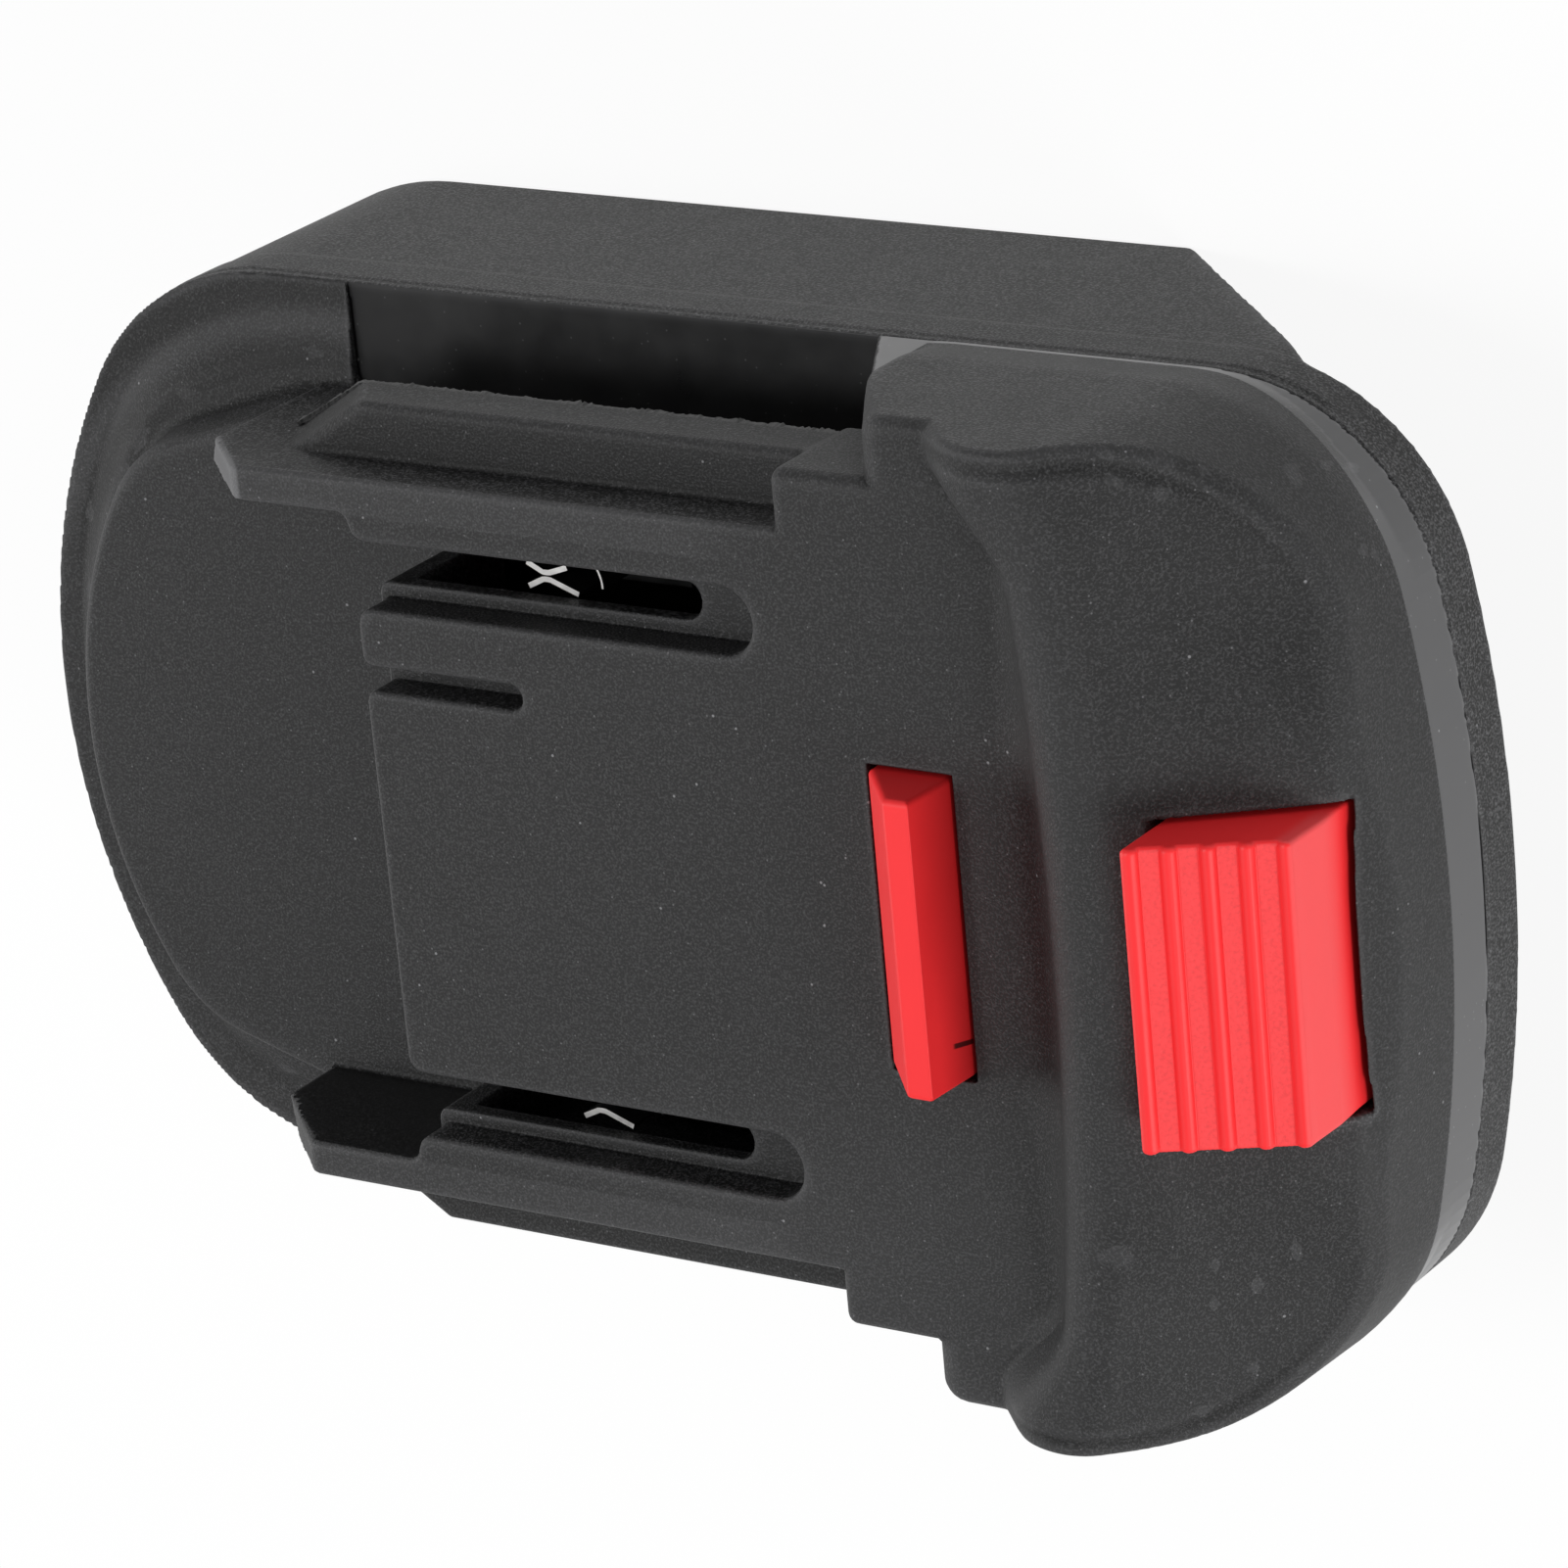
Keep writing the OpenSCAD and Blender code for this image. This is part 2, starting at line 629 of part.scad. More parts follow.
module latch_spring_right() {
    color("gainsboro") coil_spring(-spring_y);
}

// Pinch contact: two bowed leaves that touch in the middle, on a strip with a solder tail
module pinch_contact(s) {
    half = contact_l / 2;
    gap = slot_w / 2 - contact_t;
    low = holder_h;
    color("silver") translate([contact_mid_x, s * slot_y, part_z]) {
        for (m = [0, 1]) mirror([0, m, 0]) {
            translate([0, 0, low]) linear_extrude(contact_top - low) polygon([
                [-half, gap], [0, leaf_gap], [half, gap], [half, gap + contact_t], [0, contact_t + leaf_gap],
                [-half, gap + contact_t]]);
        }
        translate([-half, -gap - contact_t, low]) cube([contact_l, 2 * (gap + contact_t), contact_t]);
        translate([-half - contact_tail_l, -contact_t / 2, 0]) {
            translate([0, 0, lead_z]) cube([contact_tail_w, contact_t, low + contact_t - lead_z]);
            translate([0, 0, low]) cube([contact_tail_l + contact_t, contact_t, contact_t]);
        }
    }
}

module positive_contact() {
    pinch_contact(1);
}

module negative_contact() {
    pinch_contact(-1);
}

// Plastic seat under a pinch contact, standing on the plate
module contact_holder(s) {
    color("#4a4a4c") translate([contact_mid_x, s * slot_y, part_z]) difference() {
        translate([-contact_l / 2 - holder_front, -holder_w / 2, 0])
            cube([contact_l + holder_front + holder_back, holder_w, holder_h]);
        translate([0, 0, -over]) small_pilot(over);
    }
}

module positive_contact_holder() {
    contact_holder(1);
}

module negative_contact_holder() {
    contact_holder(-1);
}

module contact_holder_screws() {
    color("silver") for (s = [-1, 1]) translate([contact_mid_x, s * slot_y, part_z - plate_t]) small_screw(plate_t);
}

module terminal_block() {
    color("#4a4a4c") translate([block_x, 0, part_z - plate_t - block_drop]) difference() {
        translate([0, -block_w / 2, 0]) cube([block_l, block_w, block_drop]);
        for (s = [-1, 1]) {
            translate([blade_in, s * slot_y - blade_t / 2, blade_in]) cube([block_l, blade_t, blade_h]);
            translate([tail_x - block_x, s * slot_y - blade_t / 2, blade_in]) cube([tail_l, blade_t, block_drop]);
            translate([block_screw_x - block_x, s * block_screw_y, 0]) small_screw_hole(block_drop);
        }
    }
}

// Blade terminal with a tail that rises through the plate to its lead
module blade(s) {
    color("#c9a85c") translate([block_x, s * slot_y - blade_t / 2, part_z - plate_t - block_drop]) {
        translate([blade_in, 0, blade_in]) cube([block_l - blade_in + blade_l, blade_t, blade_h]);
        translate([tail_x - block_x, 0, blade_in]) cube([tail_l, blade_t, block_drop - blade_in + plate_t + lead_z]);
    }
}

module positive_blade() {
    blade(1);
}

module negative_blade() {
    blade(-1);
}

// Lead soldered between a blade's tail and a contact's tail
module lead(s) {
    translate([tail_x + tail_l, s * slot_y, part_z + lead_z]) rotate([0, 90, 0])
        cylinder(d = lead_d, h = contact_tail_x - tail_x - tail_l);
}

module positive_lead() {
    color("#b3202a") lead(1);
}

module negative_lead() {
    color("#1b1b1d") lead(-1);
}

module case_screws() {
    color("silver") for (p = screws) translate([p[0], p[1], part_z + p[2]]) {
        translate([0, 0, -screw_head_h]) cylinder(d = screw_head_d, h = screw_head_h);
        translate([0, 0, -over]) cylinder(d = screw_d, h = screw_l + over);
    }
}

module terminal_block_screws() {
    color("silver") for (s = [-1, 1]) translate([block_screw_x, s * block_screw_y, part_z - plate_t - block_drop])
        small_screw(block_drop);
}

tool_side_shell();
battery_side_shell();
latch();
release_button();
latch_carrier();
carrier_screws();
latch_spring_left();
latch_spring_right();
positive_contact();
negative_contact();
positive_contact_holder();
negative_contact_holder();
contact_holder_screws();
terminal_block();
positive_blade();
negative_blade();
positive_lead();
negative_lead();
case_screws();
terminal_block_screws();
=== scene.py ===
"""Looks of the slide-on battery adapter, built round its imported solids."""

import bpy
import numpy as np
from mathutils import Matrix, Vector


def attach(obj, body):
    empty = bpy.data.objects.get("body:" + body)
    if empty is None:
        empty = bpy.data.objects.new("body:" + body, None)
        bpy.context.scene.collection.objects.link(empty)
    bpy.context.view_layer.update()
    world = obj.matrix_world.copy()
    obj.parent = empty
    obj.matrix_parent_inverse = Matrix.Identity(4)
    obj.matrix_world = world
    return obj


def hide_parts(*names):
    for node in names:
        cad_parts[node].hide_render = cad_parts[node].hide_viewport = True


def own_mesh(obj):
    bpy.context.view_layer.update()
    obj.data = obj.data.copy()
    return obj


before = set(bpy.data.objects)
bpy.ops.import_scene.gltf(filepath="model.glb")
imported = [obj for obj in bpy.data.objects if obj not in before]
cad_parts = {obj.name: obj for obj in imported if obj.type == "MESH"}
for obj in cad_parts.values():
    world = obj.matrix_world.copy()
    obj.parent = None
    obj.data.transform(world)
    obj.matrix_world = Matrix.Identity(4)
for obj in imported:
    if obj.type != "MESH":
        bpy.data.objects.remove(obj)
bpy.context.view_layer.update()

MM = 0.001
# Height of the parting plane above the receiver's rim; every z below is counted from that plane, in mm
PART_Z = 23.7

# Sizes of the housing, the latch and the button, most of them as the solids have them
HALF_L = 58.0
HALF_W = 33.4
HOOD_HALF_W = 34.5
PLATE_T = 4.7
BLOCK_H = 23.7
WALL = 2.4
DECK_X, DECK_H, DECK_T = -16.5, 18.4, 4.3
FLOOR_H = 6.4
RAIL_Y, TONGUE_T, TONGUE_X, LEAD_IN = 26.1, 2.5, -32.5, 6.7
RECESS_X = -28.1
BAR_Y, BAR_TOP, BAR_LOW, BAR_X, BAR_SLANT = 30.05, 14.2, 9.3, -23.4, 5.8
BAR_RAKE, BAR_DRAFT = 3.0, 0.25
STOP_X, STOP_Y, STOP_END = 17.7, 30.2, 32
DECK_END = 31
HOOD_X, HOOD_LEAN, FORM_X = 25.2, 10.1, 19.3
CREST_X, CREST_H, CREST_R = 41.7, 22.9, 4.5
FACE_TILT = np.radians(39.4)
SWEEP_R = 114.0
BASE_H = 10
SLOT_Y, MOUTH_W, MOUTH_D, MOUTH_L, SLOT_W, SLOT_L = 19.3, 4.8, 2.9, 31.9, 2.8, 26.2
SIGNAL_Y, SIGNAL_W, SIGNAL_L = 11.9, 1.8, 12.9
LATCH_X, LATCH_W, LATCH_L, LATCH_H = 26.5, 6.0, 20.8, 4.5
BUTTON_X, BUTTON_W, BUTTON_L, BUTTON_H = 51.0, 9.8, 20.7, 25.2
BUTTON_TILT = np.radians(27.8)
GAP = 0.3
CARRIER_TOP = 9.4
TRAVEL_FLOOR = 1.8
CONTACT_X, CONTACT_Y, CONTACT_TOP, LEAD_Z = -3.5, 19.24, 14.22, 1.7
CHANNEL_X, CHANNEL_Y, THROAT_Y, LIP_H = -42.0, 30.4, 26.6, 5.0
SPRING_D, SPRING_WIRE, SPRING_TURNS = 6.0, 0.8, 5
SPRING_X, SPRING_Y, SPRING_SEAT, SPRING_TOP = 36.75, 7.0, 2.5, 10.8
# Cove at the hood's foot, swell of the roof round the button and pitch of the ribs, which differ from the solids
COVE_X, COVE_REACH, COVE_TURN, COVE_BOW = 36.4, 5.3, 5.3, 0.0009
SWELL_LOW, SWELL_HIGH = 0.9, 1.1
RIB_PITCH = 2.43
# Radius of the tip and of the corners in plan, at the button end and at the rail end
END_ARCS = ((106.0, 16.0), (48.0, 18.0))
# Front floor in plan: its distance from the tip, the radii of its tip and corner, and the angle where they meet
FLOOR_GAP, FLOOR_TIP_R, FLOOR_CORNER_R, FLOOR_TURN = 6.7, 35, 10, 149
# Hollow under the front floor
LOW_HOLLOW_X, LOW_HOLLOW_Y = -36.0, 21.9
# Case screws on one side: x, y and the height of the head's seat; the last two have bosses in the tool-side shell
CASE_SCREWS = ((-47.0, 9.0, -7.0), (6.0, 8.0, -2.4), (49.0, 19.0, -2.4))
CASE_HEAD_R, CASE_HOLE_R, BOSS_R = 3.0, 1.55, 3.45
HOLDER_X, HOLDER_HEAD_R, HOLDER_HOLE_R, HOLDER_SEAT = -3.9, 2.2, 1.1, 1.7
# Passage of a blade's tail, seat of a spring and the pack's catch in the battery-side shell
BLADE_X, BLADE_HALF_X, BLADE_HALF_Y = -29.5, 2.0, 1.9
SEAT_R = 3.5
CATCH_HALF_X, CATCH_HALF_Y, CATCH_DEPTH = 4, 11, 3
SKIRT_BACK = 13.3
# A place past both ends of the part
FAR = 90.0


# Distance arithmetic: a solid is where its distance is negative

def round_and(a, b, r):
    """Common part of two solids with its edge rounded by r: hypot of both distances past -r, less r."""
    return np.minimum(np.maximum(a, b), -r) + np.hypot(np.maximum(a + r, 0), np.maximum(b + r, 0))


def round_or(a, b, r):
    """Union of two solids with a fillet r in the corner between them."""
    return np.maximum(np.minimum(a, b), r) - np.hypot(np.maximum(r - a, 0), np.maximum(r - b, 0))


def cut(a, b, r):
    """Solid a less solid b, with the rim of the cut rounded by r."""
    return round_and(a, -b, r)


def between(v, low, high):
    """Distance to a slab from low to high along one axis."""
    return np.maximum(low - v, v - high)


def ease(v, low, high):
    """Smooth step from 0 at low to 1 at high: 3t^2 - 2t^3."""
    t = np.clip((v - low) / (high - low), 0, 1)
    return t * t * (3 - 2 * t)


def outline_distance(u, v, points, open_axis=False):
    """Signed distance to a closed outline: nearest point over its sides, sign by crossing parity.
    With open_axis, sides that lie on v = 0 don't count, so half an outline serves for both halves."""
    nearest = np.full(np.broadcast(u, v).shape, 1e9)
    inside = np.zeros(nearest.shape, bool)
    for a, b in zip(points, np.roll(points, -1, axis=0)):
        e = b - a
        if e @ e < 1e-12:
            continue
        wu, wv = u - a[0], v - a[1]
        if not (open_axis and abs(a[1]) < 1e-6 and abs(b[1]) < 1e-6):
            t = np.clip((wu * e[0] + wv * e[1]) / (e @ e), 0, 1)
            nearest = np.minimum(nearest, (wu - e[0] * t) ** 2 + (wv - e[1] * t) ** 2)
        if abs(e[1]) > 1e-12:
            inside ^= ((a[1] > v) != (b[1] > v)) & (wu < e[0] * wv / e[1])
    return np.where(inside, -1, 1) * np.sqrt(nearest)


def arc(centre, radius, start, end, n=20):
    """Points on an arc, angles in degrees."""
    a = np.radians(np.linspace(start, end, n))
    return np.stack([centre[0] + radius * np.cos(a), centre[1] + radius * np.sin(a)], 1)


def half_outline(half_w):
    """Upper half of the part seen from above: tip arc and corner arc at each end, straight side between."""
    ends = []
    for tip_r, corner_r in END_ARCS:
        tip = HALF_L - tip_r
        corner = np.array([tip + np.sqrt((tip_r - corner_r) ** 2 - (half_w - corner_r) ** 2), half_w - corner_r])
        turn = np.degrees(np.arctan2(corner[1], corner[0] - tip))
        ends.append(np.concatenate([arc((tip, 0), tip_r, 0, turn), arc(corner, corner_r, turn, 90)]))
    front = ends[1][::-1] * [-1, 1]
    return np.concatenate([ends[0], front])


def floor_outline():
    """Upper half of the front floor: tip arc, corner arc and a side that widens to the rails."""
    tip = np.array([-HALF_L + FLOOR_GAP + FLOOR_TIP_R, 0])
    meet = np.radians(FLOOR_TURN)
    corner = tip + (FLOOR_TIP_R - FLOOR_CORNER_R) * np.array([np.cos(meet), np.sin(meet)])
    side = np.array([TONGUE_X + 4, RAIL_Y]) - corner
    turn = np.degrees(np.arctan2(side[1], side[0]) + np.arccos(FLOOR_CORNER_R / np.hypot(*side)))
    return np.concatenate([[[DECK_X + 2, 0], [DECK_X + 2, RAIL_Y], corner + side],
                           arc(corner, FLOOR_CORNER_R, turn, FLOOR_TURN), arc(tip, FLOOR_TIP_R, FLOOR_TURN, 180)])


PLAN = half_outline(HALF_W)
HOOD_PLAN = half_outline(HOOD_HALF_W)
FLOOR_PLAN = floor_outline()
BAR_PLAN = np.array([[BAR_X - 1, RAIL_Y - 2], [BAR_X, RAIL_Y + 0.2], [BAR_X + BAR_SLANT, BAR_Y],
                     [STOP_X + 6, BAR_Y], [STOP_X + 6, RAIL_Y - 2]])
RAIL_PLAN = np.concatenate([[[DECK_END, 0], [DECK_END, RAIL_Y], [TONGUE_X + 1.8, RAIL_Y],
                             [TONGUE_X, RAIL_Y - TONGUE_T]],
                            arc((DECK_X - 0.9, RAIL_Y - TONGUE_T - 0.9), 0.9, 90, 0, 6), [[DECK_X, 0]]])


def hood_section(cove_r, tilt):
    """Place, height and slope of the hood along its sweep: deck, cove arc, straight slope, crest arc, button face."""
    crest = arc((CREST_X, CREST_H - CREST_R), CREST_R, 90 + tilt, 90 - np.degrees(FACE_TILT), 60)
    c, s = np.cos(np.radians(tilt)), np.sin(np.radians(tilt))
    foot = crest[0, 0] - (crest[0, 1] - DECK_H - cove_r * (1 - c)) * c / s - cove_r * s
    cove = arc((foot, DECK_H + cove_r), cove_r, -90, tilt - 90, 30)
    end = [[FAR, crest[-1, 1] - (FAR - crest[-1, 0]) * np.tan(FACE_TILT)]]
    line = np.concatenate([[[-FAR, DECK_H]], cove, crest, end])
    return line[:, 0], line[:, 1], np.gradient(line[:, 1], line[:, 0])


# Section in the middle, with a wide cove, and at both sides, with a sharp one
HOOD_LINES = hood_section(7.0, 52), hood_section(0.9, 55)


def hood_top(x, y):
    """Height of the hood and the slope's cosine. Behind the crest the section is swept: its reach is x + y^2 / 2R.
    In front of it the section is squeezed between the crest and the foot of the cove, which runs straight across,
    turns towards the rails near both sides and gets sharp there. Round the button the roof swells."""
    side = np.abs(y)
    crest = CREST_X - y ** 2 / (2 * SWEEP_R)
    foot = COVE_X - COVE_BOW * y ** 2 - COVE_TURN * ease(side, 25, 32.6)
    squeeze = np.where(x < crest, COVE_REACH / (crest - foot), 1.0)
    reach = CREST_X + (x - crest) * squeeze
    sharp = ease(side, 24, 31)
    shares = (1 - sharp, sharp)
    height, slope = (sum(share * np.interp(reach, line[0], line[k]) for share, line in zip(shares, HOOD_LINES))
                     for k in (1, 2))
    swell = SWELL_LOW * ease(x, 41, 46) + SWELL_HIGH * ease(x, 46, 55)
    swell = swell * (1 - ease(x, 55.8, 58)) * (1 - ease(side, 12, 25))
    return height + swell, 1 / np.sqrt(1 + (slope * squeeze) ** 2)


def tool_shell(x, y, z):
    """Distance to the tool-side shell: floor, deck, rails, bars, stops and hood joined with small fillets,
    less the hollow, the contact slots and the holes of the release."""
    side = np.abs(y)
    plan = outline_distance(x, side, PLAN, True)
    floor = outline_distance(x, side, FLOOR_PLAN, True)
    # rim round the floor: an ogee between the outline and the floor's wall
    share = np.clip(-plan / np.maximum(-plan + np.maximum(floor, 0), 0.01), 0, 1)
    flat = ease(x, -42, -30)
    rim_h = 0.3 + 1.5 * ease(share, 0.28, 0.72) * (1 - flat) + 0.7 * share * flat
    rim = round_and(round_and(plan, z - rim_h, 0.12), x - RECESS_X, 0.1)
    draft = 0.14 * (1 - ease(x, -33, -29))
    plateau = round_and(floor + draft * (z - FLOOR_H), z - FLOOR_H, 0.7)
    plateau = round_and(plateau, x - DECK_X - 2, 0.1)
    body = round_or(rim, plateau, 0.8)
    # deck and rail tongues in three layers, so that the slots step inwards on their way down
    deck = outline_distance(x, side, RAIL_PLAN, True)
    mouth, slot = (np.hypot(np.maximum(x - DECK_X - length + width / 2, 0), side - SLOT_Y) - width / 2
                   for width, length in ((MOUTH_W, MOUTH_L), (SLOT_W, SLOT_L)))
    signal = np.hypot(np.maximum(x - DECK_X - SIGNAL_L + SIGNAL_W / 2, 0), y - SIGNAL_Y) - SIGNAL_W / 2
    lead = (z - DECK_H + LEAD_IN - (x - TONGUE_X)) * np.sqrt(0.5)
    top = round_and(z - DECK_H, lead, 0.3)
    upper = cut(cut(deck, mouth, 1.2), signal, 0.8)
    middle = cut(deck, slot, 0.8)
    body = round_or(body, np.maximum(deck, np.maximum(z - FLOOR_H - 1, lead)), 0.3)
    body = np.minimum(body, np.maximum(round_and(middle, z - DECK_H + MOUTH_D, 0.15), lead))
    body = np.minimum(body, round_and(upper, top, 0.4))
    # slide bars with raked ends and outward draft, and the stops that end them
    down = (BAR_TOP - z) / (BAR_TOP - BAR_LOW)
    bar = outline_distance(x + BAR_RAKE * down, side + BAR_DRAFT * down, BAR_PLAN)
    bar = round_and(round_and(bar, z - BAR_TOP, 0.7), BAR_LOW - z, 0.2)
    body = round_or(body, bar, 0.3)
    stop = round_and(round_and(side - STOP_Y, z - DECK_H, 1.0), between(x, STOP_X, STOP_END), 0.8)
    foot = 0.001 + 0.4 * (1 - ease(z, 15, 17.5))
    body = round_or(body, np.maximum(stop, BAR_LOW - z), foot)
    # hood: an upright base, and a flared form that grows out of it, with a groove inside its upper edge that
    # turns into a step round the button end
    roof_z, lean = hood_top(x, side)
    inset = -outline_distance(x, side, HOOD_PLAN, True)
    line = 1.0 + 0.4 * ease(x, 42, 50) - 0.3 * ease(x, 51, 54)
    groove = 0.4 * (1 - ease(np.abs(inset - line), 0, 1.1)) * ease(x, 30, 33) * (1 - ease(x, 44, 50))
    step = 0.25 * ease(inset - line, -0.5, 0.5) * ease(x, 42, 48) * (1 - ease(x, 52, 57)) * ease(side, 16, 24)
    flare = (HOOD_HALF_W - HALF_W) * (1 - ease(z, -1, 7) * (0.15 + 0.85 * ease(x, FORM_X, FORM_X + 2)))
    wall = -inset + flare * ease(side, 20, 30) + 0.085 * np.maximum(z - 4.5, 0) * ease(x, 44, 56)
    face = ((HOOD_X - x) * DECK_H + (z - DECK_H) * HOOD_LEAN) / np.hypot(DECK_H, HOOD_LEAN)
    roof = (z - roof_z + groove + step) * lean
    base = round_and(np.maximum(plan, z - BASE_H + 6 * ease(x, 38, 44)), face, 0.2)
    form = round_and(round_and(wall, face, 0.6 + 0.9 * ease(z, 12, 18)), FORM_X - x, 0.4)
    hood = np.minimum(np.maximum(base, roof), round_and(form, roof, 1.0))
    body = round_or(body, np.maximum(hood, HOOD_X - 16 - x), foot)
    body = round_and(body, -z, 0.1)
    # hollow, less its screw bosses
    hollow = np.maximum(np.maximum(side - RAIL_Y + WALL, z - DECK_H + DECK_T), between(x, DECK_X + WALL, DECK_END))
    low = np.maximum(np.maximum(side - LOW_HOLLOW_Y, z - FLOOR_H + WALL),
                     between(x, LOW_HOLLOW_X, DECK_X + WALL + 1))
    inner = np.maximum(np.maximum(plan + WALL + 0.4, (z - roof_z + DECK_T) * lean), HOOD_X + 1 - x)
    hollow = np.minimum(np.minimum(hollow, low), inner)
    for sx, sy, _ in CASE_SCREWS[1:]:
        hollow = np.maximum(hollow, BOSS_R - np.hypot(x - sx, side - sy))
    body = np.maximum(body, -hollow)
    # holes of the latch and the button
    latch = np.maximum(np.abs(x - LATCH_X - 0.08) - LATCH_W / 2 - GAP + 0.08, side - LATCH_L / 2 - GAP)
    body = cut(body, np.maximum(latch, DECK_H - DECK_T - 1 - z), 0.1)
    button = np.maximum(np.abs(x - BUTTON_X) - BUTTON_W / 2 - GAP, side - BUTTON_L / 2 - GAP)
    return cut(body, np.maximum(button, TRAVEL_FLOOR - z), 0.25)


def battery_shell(x, y, z):
    """Distance to the battery-side shell: plate on the full outline and skirts with slanted ends, less the channel,
    the screw holes, the seats and the catch."""
    side = np.abs(y)
    plan = outline_distance(x, side, PLAN, True)
    plate = round_and(round_and(plan, z, 0.12), -PLATE_T - z, 0.5)
    slant = (x - (HALF_L - SKIRT_BACK) - (z + PLATE_T)) * np.sqrt(0.5)
    skirt = round_and(round_and(plan, -BLOCK_H - z, 0.5), slant, 0.5)
    skirt = np.maximum(skirt, z + 1)
    body = round_or(plate, skirt, 0.3)
    bay = np.maximum(plan + HALF_W - CHANNEL_Y, CHANNEL_X - x)
    bay = np.where(x > 0, side - CHANNEL_Y, np.maximum(bay, side - CHANNEL_Y))
    throat = np.maximum(np.maximum(side - THROAT_Y, CHANNEL_X - x), np.where(x > 0, -9, plan + HALF_W - CHANNEL_Y))
    wide = np.maximum(bay, between(z, LIP_H - BLOCK_H, -PLATE_T))
    body = cut(body, wide, 0.3)
    body = cut(body, np.maximum(throat, z + PLATE_T), 0.4)
    # counterbores and holes of the case screws
    for sx, sy, seat in CASE_SCREWS:
        away = np.hypot(x - sx, side - sy)
        body = cut(body, np.maximum(away - CASE_HEAD_R, z - seat), 0.2)
        body = np.maximum(body, CASE_HOLE_R - away)
    # seats of the springs, passages of the blades' tails, holder screws and the pack's catch
    body = np.maximum(body, -np.maximum(np.hypot(x - SPRING_X, side - SPRING_Y) - SEAT_R, -SPRING_SEAT - z))
    body = np.maximum(body, -np.maximum(np.abs(x - BLADE_X) - BLADE_HALF_X, np.abs(side - SLOT_Y) - BLADE_HALF_Y))
    away = np.hypot(x - HOLDER_X, side - SLOT_Y)
    body = np.maximum(body, HOLDER_HOLE_R - away)
    body = np.maximum(body, -np.maximum(away - HOLDER_HEAD_R, z + PLATE_T - HOLDER_SEAT))
    catch = np.maximum(np.maximum(np.abs(x - LATCH_X) - CATCH_HALF_X, side - CATCH_HALF_Y), z + PLATE_T - CATCH_DEPTH)
    return cut(body, catch, 0.3)


def latch_form(x, y, z):
    """Distance to the latch: ramp and flat ridge across the deck, on a wider foot."""
    half, draft, ridge, foot_x, foot_y = LATCH_W / 2, 0.3, 2.2, 1.6, 1.3
    section = np.array([[-half, CARRIER_TOP], [half, CARRIER_TOP], [half, DECK_H], [half - draft, DECK_H + LATCH_H],
                        [half - ridge, DECK_H + LATCH_H], [-half, DECK_H]])
    body = round_and(outline_distance(x - LATCH_X, z, section), np.abs(y) - LATCH_L / 2, 0.4)
    foot = np.maximum(np.maximum(np.abs(x - LATCH_X) - half - foot_x, np.abs(y) - LATCH_L / 2 - foot_y),
                      between(z, CARRIER_TOP, DECK_H - DECK_T - GAP))
    return np.minimum(body, foot)


def button_section():
    """Side view of the button: ribs as arcs on the tilted upper face, then the slightly bent upright face."""
    half, ribs, rib_h, rib_share, first = BUTTON_W / 2, 5, 0.4, 0.46, 0.25
    chord = RIB_PITCH * rib_share
    rib_r = (chord ** 2 / 4 + rib_h ** 2) / (2 * rib_h)
    turn = np.degrees(np.arcsin(chord / 2 / rib_r))
    line = [np.zeros((1, 2))]
    for i in range(ribs):
        line.append(arc((RIB_PITCH * (i + first), rib_h - rib_r), rib_r, 90 + turn, 90 - turn, 9))
    line = np.concatenate(line)
    c, s = np.cos(BUTTON_TILT), np.sin(BUTTON_TILT)
    upper = np.stack([line[:, 0] * c + line[:, 1] * s - half, BUTTON_H - line[:, 0] * s + line[:, 1] * c], 1)
    last = upper[-1] - [0.0, 0.5]
    upright = [last, [half - 0.05, last[1] - 3.0], [half - 0.25, last[1] - 6.0], [half - 0.25, CARRIER_TOP]]
    return np.concatenate([[[-half, CARRIER_TOP]], upper, upright])


BUTTON_SECTION = button_section()


def button_form(x, y, z):
    """Distance to the button: its side view carried across the hood, ends rounded."""
    return round_and(outline_distance(x - BUTTON_X, z, BUTTON_SECTION), np.abs(y) - BUTTON_L / 2, 0.35)


# Surfaces from distances

def mirrored(values):
    """The values and their negatives."""
    return [s * v for v in values for s in (-1, 1)]


def lines(low, high, coarse, fine, breaks, reach, growth=0.4):
    """Grid lines from low to high: fine within reach of a break, growing to coarse away from it."""
    out = [low]
    breaks = np.asarray(breaks, float)
    while out[-1] < high:
        away = np.min(np.abs(out[-1] + fine / 2 - breaks))
        out.append(out[-1] + np.clip(fine + growth * (away - reach), fine, coarse))
    return np.array(out)


